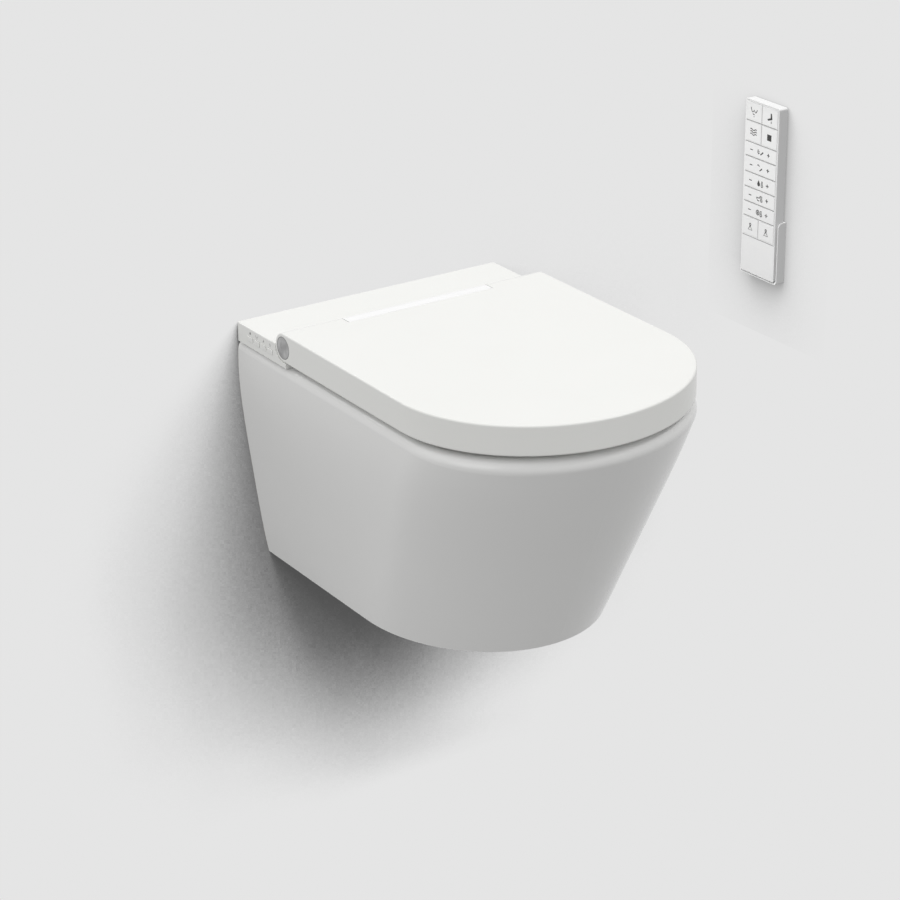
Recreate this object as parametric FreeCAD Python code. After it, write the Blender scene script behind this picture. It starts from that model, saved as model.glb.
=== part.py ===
import FreeCAD
import Part
import os
from math import cos, pi, radians, sin, tan

# A wall-hung shower toilet: ceramic pan, slim washing unit, heated seat, lid, and its remote control in a cradle.
# Millimetres. X to the sitter's left, Y out of the bowl into the wall, Z up.
# Origin: midway between the two wall studs, on the face of the wall.

V = FreeCAD.Vector
ORIGIN = V(0, 0, 0)
X_AXIS = V(1, 0, 0)
Y_AXIS = V(0, 1, 0)
Z_AXIS = V(0, 0, 1)

# Overall sizes
WIDTH = 380.0  # lid and washing unit
DEPTH = 541.0  # wall to the front of the lid
LID_HEIGHT = 37.0
LID_CURVE = 172.8  # depth of the lid's rounded front
RIM_HEIGHT = 80.0  # ceramic top above the studs
BOWL_HEIGHT = 295.5
LID_GAP = 6.5  # ceramic top to the lid's lower edge

# Clearances
RUNNING = 0.05  # radial, shaft in hole
MOVING = 0.3  # between pieces that move past each other
LOOSE = 2.0  # round pieces dropped into an opening

# Ceramic pan. Each row of the profile is a share of the bowl's height below the rim, how far the side is
# drawn in from the lid's side, how far the front is set back from the lid's front, and the front curve's depth
BOWL_PROFILE = [
    (0.0, 2.5, -2.6, 155.0),
    (0.25, 3.0, 30.0, 160.8),
    (0.5, 11.9, 62.7, 166.5),
    (0.75, 22.3, 95.4, 172.3),
    (1.0, 35.0, 128.0, 178.0),
]
CERAMIC_WALL = 11.0
DECK = 12.0  # thickness of the ceramic's top
SHOULDER = 13.0  # rounding of the rim's outer edge
BASIN_LIP = 36.0  # the basin's front edge behind the lid's front
# Basin: drop below the rim, half width, how far its rear and its widest place are from the wall, and how far
# it reaches on from there to its front, as a share of the top's reach
BASIN_PROFILE = [
    (0.0, 140.0, 165.0, 300.0, 1.0),
    (70.0, 128.0, 160.0, 290.0, 0.878),
    (140.0, 92.0, 182.0, 280.0, 0.585),
    (200.0, 55.0, 212.0, 270.0, 0.317),
    (248.0, 34.0, 222.0, 252.0, 0.161),
]
STUD_SPACING = 180.0
STUD_HOLE = 6.5  # radius in the bush, for an M12 stud
BUSH_WALL = 4.5
BUSH_FLANGE = 3.0
BUSH_LENGTH = 30.0
STUD_BOSS = 22.0
WASTE_DROP = 100.0  # below the studs
WASTE_OUTER = 51.0
WASTE_BORE = 45.0
WASTE_LENGTH = 40.0
WASTE_RECESS = 66.0
TRAP_BORE = 27.0
TRAP_INLET = (262.0, 48.0)  # from the wall, and above the basin's lowest place
TRAP_SUMP = (222.0, 50.5)  # from the wall, and above the bowl's underside
TRAP_WEIR = (112.0, 110.0)  # from the wall, and below the rim
TRAP_OUTLET = (62.0, 20.0)  # where it turns to the wall, and where it meets the waste outlet
FLUSH_RISE = 35.0  # above the studs
FLUSH_BORE = 22.0
FLUSH_SOCKET = 27.5
SEAL_DEPTH = 35.0
SEAL_PROUD = 12.0  # the seal's lip behind the ceramic
SEAL_BORE = 22.5
SEAL_RELIEF = 24.5

# Openings in the deck, one each side, that the washing unit's tubs hang through
WELL_INNER = 48.0
WELL_OUTER = 158.0
WELL_REAR = 28.0
WELL_FRONT = 112.0
WELL_BAY = 100.0  # outer side of the forward part of each opening
BAY_FRONT = 130.0
WINDOW_DROP = 50.0  # the rear windows' lower edge below the rim
WINDOW_OUTER = 150.0

# Washing unit
UNIT_TOP_DROP = 0.2  # the cover's top below the hinge axis
UNIT_REAR = 2.0
UNIT_CORNER = 10.0
UNIT_EDGE = 1.2
COVER_WALL = 2.5
COVER_FIT = 0.5
BASE_SHEET = 2.5
TUB_WALL = 2.0
TUB_GAP = 3.0
TUB_DEPTH = 54.0
TUB_LIP = 14.0  # how far the base's sheet covers the front of each tub
HINGE_SETBACK = 112.5  # hinge axis in front of the wall
EAR_GAP = 0.8
EAR_LIP = 5.5  # how far the cover's lip passes in front of the axis
SIDE_KEYS = ["rear_wash", "front_wash", "stop", "power"]
KEY_PITCH = 15.8
KEY_FIRST = 34.0
KEY_WIDTH = 12.3
KEY_HEIGHT = 6.5
KEY_TOP_DROP = 10.5  # below the unit's top
KEY_PROUD = 0.8
KEY_FLANGE = 0.8
KEY_RIM = 0.7
KEY_TRAVEL = 0.5
SWITCH_HEIGHT = 3.0
SWITCH_SIZE = 5.0
BOARD_SHEET = 1.2
DECK_BOLT_X = 30.0
DECK_BOLT_SETBACK = 24.5  # behind the hinge axis
DECK_BOLT = 3.0

# Hinge
BRIDGE_WIDTH = 208.0
BRIDGE_NOSE = 21.5  # radius of its front
BRIDGE_GAP = 1.3
BRIDGE_FOOT = 96.0
BRIDGE_FOOT_REAR = 9.0  # behind the axis
BRIDGE_FOOT_FRONT = 13.0
BRIDGE_SCREW = 2.0
CUTOUT_GAP = 0.8
PIN_RADIUS = 5.0
PIN_REACH = 32.0
PIN_ROOT = 12.0
DAMPER_RADIUS = 12.0
DAMPER_LENGTH = 42.0
CAP_RADIUS = 14.1
CAP_DEPTH = 1.0

# Lid
LID_WALL = 4.0
LID_SKIN = 3.0  # wall of its hollow barrel
BARREL_END = 230.0  # where the barrel's wall stops, in degrees over the top from the front
LUG = 3.5  # thickness of the lid's inner lugs
LID_EDGE = 2.2
PAD_RADIUS = 8.0

# Seat
SEAT_INSET = 1.8  # seat inside the lid's skirt
SEAT_FLOOR = 1.5  # seat's underside above the lid's lower edge
SEAT_BASE = 10.0
SEAT_HEIGHT = 30.0
SEAT_SKIN = 3.5
SEAT_REAR = 23.0  # radius round the hinge axis that the seat stays out of
SEAT_ROUND = 7.0
SEAT_LOW_ROUND = 2.5
SEAT_HOLE = 105.0
SEAT_HOLE_REAR = 190.0
SEAT_HOLE_MIDDLE = 325.0
SEAT_RIM = 55.2  # width of the ring at its front
ARM_INNER = 110.0
ARM_WIDTH = 20.0
ARM_RING = 13.0
ARM_HEIGHT = 12.0
HEATER_SHEET = 0.8
PAD_PLACES = [(33.0, 281.0), (78.0, 69.0)]  # in from the lid's side, and behind its front

# Spray nozzle, in its own frame: it slides along -Y, and its rack faces +X
NOZZLE_SIDE = 62.0
NOZZLE_TIP = 172.0  # tip in front of the wall at rest
NOZZLE_DROP = 50.0  # tip below the rim
NOZZLE_SLOPE = 24.0
NOZZLE_RADIUS = 7.0
NOZZLE_LENGTH = 150.0
NOZZLE_HEAD = 24.0
NOZZLE_FIT = 0.05
GUIDE_WALL = 1.6
GUIDE_START = 4.0
GEAR_MODULE = 1.0
GEAR_TEETH = 14
GEAR_WIDTH = 5.0
GEAR_PLACE = 62.0  # the pinion's axis behind the nozzle's tip
GEAR_BACKLASH = 0.12
RACK_BACK = 2.0
GEAR_SHAFT = 1.5
BRACKET_SHEET = 1.5
MOTOR_RADIUS = 9.0
MOTOR_LENGTH = 16.0

# Water path
HEATER_X = (112.0, 148.0)
HEATER_Y = (64.0, 104.0)
HEATER_HEIGHT = 44.0
VALVE_X = (108.0, 136.0)
VALVE_Y = (36.0, 56.0)
VALVE_HEIGHT = 22.0
PUMP_RADIUS = 9.0
PUMP_LENGTH = 30.0
INLET_X = 122.0
INLET_DROP = 30.0  # below the rim
INLET_RADIUS = 10.4  # G 1/2 outside thread
INLET_REACH = 22.0
HOSE_RADIUS = 3.0
HOSE_Y = 80.0
HOSE_TURNS = [(104.0, 1.0), (92.0, 11.0), (74.0, 15.0)]  # across, and above the rim, from pump to guide
HOSE_END = (4.0, 13.0)  # the guide's boss and the hose's last turn above the rim

# Dryer
FAN_X = 107.0
FAN_Y = 68.0
FAN_RADIUS = 27.0
FAN_HEIGHT = 15.0
FAN_BLADES = 20
FAN_SHAFT = 2.0
SCROLL_RADIUS = 33.0
SCROLL_WALL = 1.8
SCROLL_HEIGHT = 22.0
DUCT_OUTER_EDGE = 96.0
FAN_MOTOR = 15.0
FAN_MOTOR_HEIGHT = 20.0

# Power
GLAND_X = 107.0
GLAND_DROP = 20.0  # below the rim
GLAND_RADIUS = 8.0
GLAND_BORE = 3.6
GLAND_REACH = 20.0
SUPPLY_X = (-162.0, -48.0)
CONTROL_X = (-42.0, 44.0)
BOARD_REAR = 20.0
BOARD_DEPTH = 56.0
STANDOFF = 2.0
PART_HEIGHT = 11.0

# Remote control and cradle, on the side wall
REMOTE_FACE = 383.0
REMOTE_Y = 299.0
REMOTE_Z = 245.5
REMOTE_WIDTH = 64.0
REMOTE_HEIGHT = 222.0
REMOTE_THICK = 12.5
REMOTE_CORNER = 3.0
REMOTE_WALL = 1.6
FACE_SHEET = 2.0
REMOTE_SPLIT = 7.0  # face to the joint between its two shells
KEY_MARGIN = 2.7
KEY_LINE = 1.4
# Rows of keys from the top: the row's lower edge as a share of the height, and its keys
REMOTE_ROWS = [
    (0.12, ["rear_wash", "front_wash"]),
    (0.24, ["dryer", "stop"]),
    (0.324, ["pressure"]),
    (0.415, ["position"]),
    (0.502, ["water_heat"]),
    (0.587, ["seat_heat"]),
    (0.673, ["air_heat"]),
    (0.784, ["user_one", "user_two"]),
]
CAP_PROUD = 0.6
CAP_SHEET = 2.6
CAP_RIM = 0.45
CAP_FLANGE = 0.7
REMOTE_TRAVEL = 0.6
ROCKER_HUB = 1.0
KEY_BOARD_DEPTH = 4.4  # face to the circuit board
CELL_RADIUS = 10.0
CELL_THICK = 3.2
CELL_RISE = 26.0
DOOR_RADIUS = 14.0
DOOR_THICK = 1.2
CRADLE_WALL = 2.0
CRADLE_BACK = 2.5
CRADLE_HEIGHT = 80.0
CRADLE_FLOOR = 2.5
CRADLE_LIP = 10.0
CRADLE_ROUND = 6.0
CRADLE_SCREW = 2.0
CRADLE_SCREWS = (20.0, 60.0)

# Worked out from the sizes above
HALF = WIDTH / 2.0
BARREL = LID_HEIGHT / 2.0
LID_LOW = RIM_HEIGHT + LID_GAP
LID_TOP = LID_LOW + LID_HEIGHT
AXIS_Z = LID_LOW + BARREL
AXIS_Y = -HINGE_SETBACK
AXIS = V(0, AXIS_Y, AXIS_Z)
BOWL_LOW = RIM_HEIGHT - BOWL_HEIGHT
BASIN_LOW = RIM_HEIGHT - BASIN_PROFILE[-1][0]
BASIN_REACH = DEPTH - BASIN_LIP - BASIN_PROFILE[0][3]
NOZZLE_TIP_Z = RIM_HEIGHT - NOZZLE_DROP
INLET_Z = RIM_HEIGHT - INLET_DROP
GLAND_Z = RIM_HEIGHT - GLAND_DROP
DECK_BOLT_Y = HINGE_SETBACK - DECK_BOLT_SETBACK
UNIT_TOP = AXIS_Z - UNIT_TOP_DROP
BASE_TOP = RIM_HEIGHT + BASE_SHEET
TUB_LOW = RIM_HEIGHT - TUB_DEPTH
TUB_FLOOR = TUB_LOW + TUB_WALL
EAR_RADIUS = BARREL + EAR_GAP
COVER_INNER = HALF - COVER_WALL
COVER_LOW = RIM_HEIGHT + MOVING
BRIDGE_HALF = BRIDGE_WIDTH / 2.0
LID_INNER = BRIDGE_HALF + BRIDGE_GAP
LID_CAVITY_TOP = LID_TOP - LID_WALL
SEAT_LOW = LID_LOW + SEAT_FLOOR
SEAT_TOP = SEAT_LOW + SEAT_HEIGHT
SEAT_SPLIT = SEAT_LOW + SEAT_BASE
SEAT_HALF = HALF - LID_WALL - SEAT_INSET
SEAT_FRONT = DEPTH - LID_WALL - SEAT_INSET
PINION_X = NOZZLE_RADIUS + RACK_BACK + GEAR_MODULE * GEAR_TEETH / 2.0
GUIDE_RADIUS = NOZZLE_RADIUS + NOZZLE_FIT + GUIDE_WALL
FAN_LOW = TUB_FLOOR + SCROLL_WALL + (SCROLL_HEIGHT - 2 * SCROLL_WALL - FAN_HEIGHT) / 2.0
REMOTE_LOW = REMOTE_Z - REMOTE_HEIGHT / 2.0
REMOTE_TOP = REMOTE_Z + REMOTE_HEIGHT / 2.0
REMOTE_BACK = REMOTE_FACE + REMOTE_THICK
REMOTE_SIDES = (-REMOTE_Y - REMOTE_WIDTH / 2.0, -REMOTE_Y + REMOTE_WIDTH / 2.0)
SIDE_WALL = REMOTE_BACK + MOVING + CRADLE_BACK
FAR = 1000.0


# Shapes

def box(x, y, z):
    """A block between two limits along each axis."""
    size = [abs(limits[1] - limits[0]) for limits in (x, y, z)]
    return Part.makeBox(size[0], size[1], size[2], V(min(x), min(y), min(z)))


def rod(radius, axis, start, end, centre=ORIGIN):
    """A cylinder between two places along an axis, through centre."""
    across = centre - axis * centre.dot(axis)
    return Part.makeCylinder(radius, end - start, across + axis * start, axis)


def fuse(shapes):
    return shapes[0].multiFuse(shapes[1:]).removeSplitter()


def cut(shape, tools):
    for tool in tools:
        shape = shape.cut(tool)
    return shape


def mirrored(shape):
    return shape.mirror(ORIGIN, X_AXIS)


def both_sides(shape):
    """The shape and its mirror image on the other side of the toilet."""
    return [shape, mirrored(shape)]


def rounded(shape, radius, wanted):
    """The shape with the edges rounded whose bounding box wanted() picks."""
    return shape.makeFillet(radius, [edge for edge in shape.Edges if wanted(edge.BoundBox)])


def quarter(half_width, depth, middle, z, start):
    """A quarter of an ellipse in plan, from an angle in degrees."""
    arc = Part.makeCircle(1.0, ORIGIN, Z_AXIS, start, start + 90.0).toNurbs()
    stretch = FreeCAD.Matrix()
    stretch.scale(half_width, depth, 1.0)
    stretch.move(V(0, -middle, z))
    return arc.transformGeometry(stretch).Edges[0]


def d_wire(half_width, rear, front, curve, z):
    """A D in plan: straight across the rear and along the sides, half an ellipse at the front."""
    side = front - curve
    places = [(half_width, side), (half_width, rear), (-half_width, rear), (-half_width, side)]
    corners = [V(x, -y, z) for x, y in places]
    edges = [Part.makeLine(corners[i], corners[i + 1]) for i in range(3)]
    edges += [quarter(half_width, curve, side, z, start) for start in (180.0, 270.0)]
    return Part.Wire(edges)


def egg_wire(half_width, rear, middle, front, z):
    """An egg in plan: two half ellipses that meet at the widest place."""
    edges = [quarter(half_width, middle - rear, middle, z, start) for start in (0.0, 90.0)]
    edges += [quarter(half_width, front - middle, middle, z, start) for start in (180.0, 270.0)]
    return Part.Wire(edges)


def prism(wire, height):
    return Part.Face(wire).extrude(V(0, 0, height))


def pipe(points, radius):
    """A round bar along straight runs joined by tangent arcs."""
    runs = [points[i + 1] - points[i] for i in range(len(points) - 1)]
    edges = []
    start = points[0]
    for i in range(1, len(points) - 1):
        before = V(runs[i - 1]).normalize()
        after = V(runs[i]).normalize()
        half_turn = before.getAngle(after) / 2.0
        reach = 0.45 * min(runs[i - 1].Length, runs[i].Length)
        bend = reach / tan(half_turn)
        enter = points[i] - before * reach
        leave = points[i] + after * reach
        middle = points[i] + (after - before).normalize() * (bend / cos(half_turn) - bend)
        edges += [Part.makeLine(start, enter), Part.Arc(enter, middle, leave).toShape()]
        start = leave
    edges.append(Part.makeLine(start, points[-1]))
    circle = Part.Wire(Part.makeCircle(radius, points[0], runs[0]))
    return Part.Wire(edges).makePipeShell([circle], True, False)


def screw(radius, head_radius, head_height, axis, head, tip, centre):
    """A screw whose head starts at one place along an axis and whose shank ends at another."""
    way = 1.0 if tip > head else -1.0
    neck = head + way * head_height
    parts = [
        rod(head_radius, axis, min(head, neck), max(head, neck), centre),
        rod(radius, axis, min(head, tip), max(head, tip), centre),
    ]
    return fuse(parts)


# Ceramic pan

def bowl_loft(inset, top, bottom):
    """The bowl's outer form drawn in by inset, between two heights, up to the wall."""
    wires = []
    for drop, side, setback, curve in BOWL_PROFILE:
        z = min(top, max(bottom, RIM_HEIGHT - drop * BOWL_HEIGHT))
        wires.append(d_wire(HALF - side - inset, -LOOSE, DEPTH - setback - inset, curve - inset, z))
    return Part.makeLoft(wires, True, False).cut(box((-HALF, HALF), (0.0, LOOSE + 1.0), (bottom - 1.0, top + 1.0)))


def basin_loft(offset):
    wires = []
    for drop, half_width, rear, middle, share in BASIN_PROFILE:
        grown = offset if drop < BASIN_PROFILE[-1][0] else offset * 0.6
        z = RIM_HEIGHT - drop - (offset - grown)
        front = middle + share * BASIN_REACH
        wires.append(egg_wire(half_width + grown, rear - grown, middle, front + grown, z))
    return Part.makeLoft(wires, True, False)


def trap_form(radius):
    """The trap's way from the basin over its weir to the outlet, as round runs and ball corners."""
    points = [
        V(0, -TRAP_INLET[0], BASIN_LOW + TRAP_INLET[1]),
        V(0, -TRAP_SUMP[0], BOWL_LOW + TRAP_SUMP[1]),
        V(0, -TRAP_WEIR[0], RIM_HEIGHT - TRAP_WEIR[1]),
        V(0, -TRAP_OUTLET[0], -WASTE_DROP),
        V(0, -TRAP_OUTLET[1], -WASTE_DROP),
    ]
    shapes = [Part.makeSphere(radius, point) for point in points[1:-1]]
    for start, end in zip(points, points[1:]):
        shapes.append(Part.makeCylinder(radius, (end - start).Length, start, end - start))
    return fuse(shapes)


def well_shape(inset, low, high):
    """What fills the left opening in the deck, or hangs inside it by inset, between two heights."""
    inner = WELL_INNER + inset
    main = box((inner, WELL_OUTER - inset), (-WELL_REAR - inset, -WELL_FRONT + inset), (low, high))
    bay = box((inner, WELL_BAY - inset), (-WELL_REAR - inset, -BAY_FRONT + inset), (low, high))
    return fuse([main, bay])


def at_studs(shape):
    return both_sides(shape.translated(V(STUD_SPACING / 2.0, 0, 0)))


def at_deck_bolts(shape):
    return both_sides(shape.translated(V(DECK_BOLT_X, -DECK_BOLT_Y, 0)))


def along_nozzle(shape):
    """A shape moved from the nozzle's own frame to its place."""
    placed = shape.copy()
    placed.rotate(ORIGIN, X_AXIS, NOZZLE_SLOPE)
    placed.translate(V(NOZZLE_SIDE, -NOZZLE_TIP, NOZZLE_TIP_Z))
    return placed


def nozzle_way(gap, start):
    """What the nozzle's guide and its rack pass through, from a place along the nozzle to its rear end."""
    half = GEAR_WIDTH / 2.0 + gap
    rack_tip = NOZZLE_RADIUS + RACK_BACK + GEAR_MODULE
    tube = rod(GUIDE_RADIUS + gap, Y_AXIS, start, NOZZLE_LENGTH)
    return along_nozzle(tube.fuse(box((0.0, rack_tip + gap), (start, NOZZLE_LENGTH), (-half, half))))


def duct_bar(inset, front, rear):
    """What fills the dryer's duct, or the duct itself where inset is 0."""
    inner = DUCT_OUTER_EDGE - SCROLL_HEIGHT
    x = (-DUCT_OUTER_EDGE + inset, -inner - inset)
    z = (TUB_FLOOR + inset, TUB_FLOOR + SCROLL_HEIGHT - inset)
    return box(x, (-front, -rear), z)


def ceramic_pan():
    waste = V(0, 0, -WASTE_DROP)
    flush = V(0, 0, FLUSH_RISE)
    thin = CERAMIC_WALL - 1.0
    outer = bowl_loft(0.0, RIM_HEIGHT, BOWL_LOW)
    outer = rounded(outer, SHOULDER, lambda b: b.ZMin > RIM_HEIGHT - 0.1 and b.YMin < -1.0)
    window_z = (RIM_HEIGHT - WINDOW_DROP, RIM_HEIGHT - DECK)
    rear_plate = box((-HALF, HALF), (-CERAMIC_WALL, 1.0), (BOWL_LOW, RIM_HEIGHT))
    hollow = bowl_loft(CERAMIC_WALL, RIM_HEIGHT - DECK, BOWL_LOW + CERAMIC_WALL).cut(rear_plate)
    inner_walls = [
        basin_loft(thin),
        trap_form(TRAP_BORE + thin),
        rod(WASTE_OUTER, Y_AXIS, -WASTE_LENGTH, 0.0, waste),
        rod(FLUSH_SOCKET + thin, Y_AXIS, -SEAL_DEPTH - thin, 0.0, flush),
        rod(FLUSH_BORE + thin, Y_AXIS, -NOZZLE_TIP, 0.0, flush),
    ]
    inner_walls += at_studs(rod(STUD_BOSS, Y_AXIS, -BUSH_LENGTH, 0.0))
    body = outer.cut(cut(hollow, inner_walls))
    recess = rod(WASTE_RECESS, Y_AXIS, -CERAMIC_WALL, 1.0, waste)
    holes = [
        recess.cut(rod(WASTE_OUTER, Y_AXIS, -FAR, FAR, waste)),
        basin_loft(0.0),
        trap_form(TRAP_BORE),
        rod(WASTE_BORE, Y_AXIS, -WASTE_LENGTH + thin, 1.0, waste),
        rod(FLUSH_BORE, Y_AXIS, -NOZZLE_TIP, 0.0, flush),
        rod(FLUSH_SOCKET + RUNNING, Y_AXIS, -SEAL_DEPTH, 1.0, flush),
        nozzle_way(LOOSE / 2.0, -3.0 * thin),
        duct_bar(-LOOSE / 2.0, BASIN_PROFILE[0][3], BAY_FRONT),
        box((WELL_INNER, WINDOW_OUTER), (-CERAMIC_WALL - 1.0, 1.0), window_z),
        box((-WINDOW_OUTER, -WELL_INNER), (-CERAMIC_WALL - 1.0, 1.0), window_z),
    ]
    holes += at_studs(rod(STUD_HOLE + BUSH_WALL, Y_AXIS, -BUSH_LENGTH - 1.0, 1.0))
    holes += both_sides(well_shape(0.0, RIM_HEIGHT - DECK - 1.0, RIM_HEIGHT + 1.0))
    holes += at_deck_bolts(rod(DECK_BOLT + LOOSE, Z_AXIS, RIM_HEIGHT - DECK - 1.0, RIM_HEIGHT + 1.0))
    return cut(body, holes)


def fixing_bushes():
    """Plastic bushes that centre the wall studs in the ceramic."""
    sleeve = rod(STUD_HOLE + BUSH_WALL - RUNNING, Y_AXIS, -BUSH_LENGTH - BUSH_FLANGE, 0.0)
    flange = rod(STUD_BOSS - LOOSE, Y_AXIS, -BUSH_LENGTH - BUSH_FLANGE, -BUSH_LENGTH)
    bush = fuse([sleeve, flange]).cut(rod(STUD_HOLE, Y_AXIS, -FAR, FAR))
    return at_studs(bush)


def flush_seal():
    """Rubber sleeve between the cistern's flush pipe and the ceramic."""
    centre = V(0, 0, FLUSH_RISE)
    sleeve = rod(FLUSH_SOCKET, Y_AXIS, -SEAL_DEPTH + 1.0, SEAL_PROUD, centre)
    return cut(sleeve, [rod(SEAL_BORE, Y_AXIS, 0.0, FAR, centre), rod(SEAL_RELIEF, Y_AXIS, -FAR, 0.5, centre)])


# Washing unit

def unit_outline(inset, low, high):
    """The unit's block in plan, with rounded rear corners, between two heights."""
    front = AXIS_Y - EAR_LIP + inset
    block = box((-HALF + inset, HALF - inset), (front, -UNIT_REAR - inset), (low, high))
    return rounded(block, UNIT_CORNER - inset, lambda b: b.YMin > -UNIT_REAR - inset - 0.1 and b.ZLength > 1.0)


def side_key_centre(i):
    y = -KEY_FIRST - i * KEY_PITCH
    z = UNIT_TOP - KEY_TOP_DROP - KEY_HEIGHT / 2.0
    return y, z


def side_key_bar(i, grow, x):
    y, z = side_key_centre(i)
    wide = KEY_WIDTH / 2.0 + grow
    high = KEY_HEIGHT / 2.0 + grow
    return box(x, (y - wide, y + wide), (z - high, z + high))


def unit_cover():
    shell = unit_outline(0.0, COVER_LOW, UNIT_TOP)
    shell = shell.cut(rod(EAR_RADIUS, X_AXIS, -HALF, HALF, AXIS))
    shell = rounded(shell, UNIT_EDGE, lambda b: b.ZMin > UNIT_TOP - 0.1 and b.YMax > AXIS_Y + EAR_RADIUS + 1.0)
    inside = unit_outline(COVER_WALL, COVER_LOW - 1.0, UNIT_TOP - COVER_WALL)
    inside = inside.cut(rod(EAR_RADIUS + COVER_WALL, X_AXIS, -HALF, HALF, AXIS))
    window_y = (AXIS_Y - FAR, AXIS_Y + BRIDGE_FOOT_REAR + COVER_FIT)
    window = box((-BRIDGE_HALF, BRIDGE_HALF), window_y, (0.0, AXIS_Z))
    keyholes = [side_key_bar(i, MOVING, (-HALF - 1.0, -COVER_INNER + 1.0)) for i in range(len(SIDE_KEYS))]
    return cut(shell, [inside, window] + keyholes)


def unit_base():
    """Tray on the deck, with a tub hanging through each opening of the ceramic."""
    sheet = unit_outline(COVER_WALL + COVER_FIT, RIM_HEIGHT, BASE_TOP)
    tongue_x = BRIDGE_HALF - COVER_FIT
    tongue = box((-tongue_x, tongue_x), (-BAY_FRONT - TUB_GAP, AXIS_Y), (RIM_HEIGHT, BASE_TOP))
    tubs = both_sides(well_shape(TUB_GAP, TUB_LOW, RIM_HEIGHT))
    pockets = both_sides(well_shape(TUB_GAP + TUB_WALL, TUB_FLOOR, RIM_HEIGHT))
    mouth_x = (WELL_INNER + TUB_GAP + TUB_WALL, WELL_OUTER - TUB_GAP - TUB_WALL)
    mouth_y = (-WELL_REAR - TUB_GAP - TUB_WALL, -WELL_FRONT + TUB_LIP)
    mouths = both_sides(box(mouth_x, mouth_y, (RIM_HEIGHT - 1.0, BASE_TOP + 1.0)))
    holes = [
        nozzle_way(MOVING, 0.0),
        duct_bar(-RUNNING, BAY_FRONT, FAN_Y),
        rod(INLET_RADIUS + RUNNING, Y_AXIS, -FAN_Y, 0.0, V(INLET_X, 0, INLET_Z)),
        rod(GLAND_RADIUS + RUNNING, Y_AXIS, -FAN_Y, 0.0, V(-GLAND_X, 0, GLAND_Z)),
    ]
    holes += at_deck_bolts(rod(DECK_BOLT + RUNNING, Z_AXIS, RIM_HEIGHT - 1.0, BASE_TOP + 1.0))
    holes += bridge_screw_holes()
    return cut(fuse([sheet, tongue] + tubs), pockets + mouths + holes)


def bridge_screw_holes():
    centre = V(BRIDGE_FOOT - 10.0, AXIS_Y, 0)
    return both_sides(rod(BRIDGE_SCREW + RUNNING, Z_AXIS, RIM_HEIGHT - 1.0, AXIS_Z - DAMPER_RADIUS - 1.0, centre))


def bridge_screws():
    """Screws from inside the tubs up into the bridge's foot."""
    centre = V(BRIDGE_FOOT - 10.0, AXIS_Y, 0)
    tip = AXIS_Z - DAMPER_RADIUS - 2.0
    return both_sides(screw(BRIDGE_SCREW, BRIDGE_SCREW * 2.0, 3.0, Z_AXIS, RIM_HEIGHT - 3.0, tip, centre))


def deck_bolts():
    bolt = screw(DECK_BOLT, DECK_BOLT * 2.0, 4.0, Z_AXIS, BASE_TOP + 4.0, RIM_HEIGHT - DECK - 8.0, ORIGIN)
    return at_deck_bolts(bolt)


def deck_nuts():
    flange = rod(DECK_BOLT * 3.0, Z_AXIS, RIM_HEIGHT - DECK - 2.0, RIM_HEIGHT - DECK)
    grip = rod(DECK_BOLT * 2.0, Z_AXIS, RIM_HEIGHT - DECK - 6.0, RIM_HEIGHT - DECK)
    nut = fuse([flange, grip]).cut(rod(DECK_BOLT + RUNNING, Z_AXIS, 0.0, RIM_HEIGHT))
    return at_deck_bolts(nut)


def side_key(i):
    """One key in the unit's side, with the flange that keeps it in."""
    cap = side_key_bar(i, 0.0, (-HALF - KEY_PROUD, -COVER_INNER + MOVING + KEY_FLANGE))
    cap = rounded(cap, 0.5, lambda b: b.XMax < -HALF - KEY_PROUD + 0.1)
    flange = side_key_bar(i, KEY_RIM, (-COVER_INNER + MOVING, -COVER_INNER + MOVING + KEY_FLANGE))
    return fuse([cap, flange])


def key_board():
    """Circuit board behind the side keys, standing on the unit's base, with one switch for each key."""
    face = -COVER_INNER + MOVING + KEY_FLANGE + KEY_TRAVEL + MOVING
    back = face + SWITCH_HEIGHT
    reach = KEY_WIDTH / 2.0 + LOOSE
    first = side_key_centre(0)[0] + reach
    last = side_key_centre(len(SIDE_KEYS) - 1)[0] - reach
    board = box((back, back + BOARD_SHEET), (last, first), (BASE_TOP, UNIT_TOP - COVER_WALL - MOVING))
    switches = []
    for i in range(len(SIDE_KEYS)):
        y, z = side_key_centre(i)
        half = SWITCH_SIZE / 2.0
        switches.append(box((face, back), (y - half, y + half), (z - half, z + half)))
    return fuse([board] + switches)


# Hinge

def hinge_bridge():
    """The nose between the lid's ears, on its foot, bored for the two dampers."""
    span = (-BRIDGE_HALF, BRIDGE_HALF)
    front = rod(BRIDGE_NOSE, X_AXIS, -BRIDGE_HALF, BRIDGE_HALF, AXIS)
    front = front.common(box(span, (AXIS_Y - FAR, AXIS_Y), (LID_LOW, LID_TOP)))
    rear = rod(BARREL, X_AXIS, -BRIDGE_HALF, BRIDGE_HALF, AXIS)
    foot_y = (AXIS_Y - BRIDGE_FOOT_FRONT, AXIS_Y + BRIDGE_FOOT_REAR)
    foot = box((-BRIDGE_FOOT, BRIDGE_FOOT), foot_y, (BASE_TOP, AXIS_Z))
    bore = rod(DAMPER_RADIUS + RUNNING, X_AXIS, BRIDGE_HALF - DAMPER_LENGTH, BRIDGE_HALF + 1.0, AXIS)
    core_end = BRIDGE_HALF - DAMPER_LENGTH - LUG
    core = rod(DAMPER_RADIUS, X_AXIS, -core_end, core_end, AXIS)
    return cut(fuse([front, rear, foot]), both_sides(bore) + [core] + bridge_screw_holes())


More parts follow.
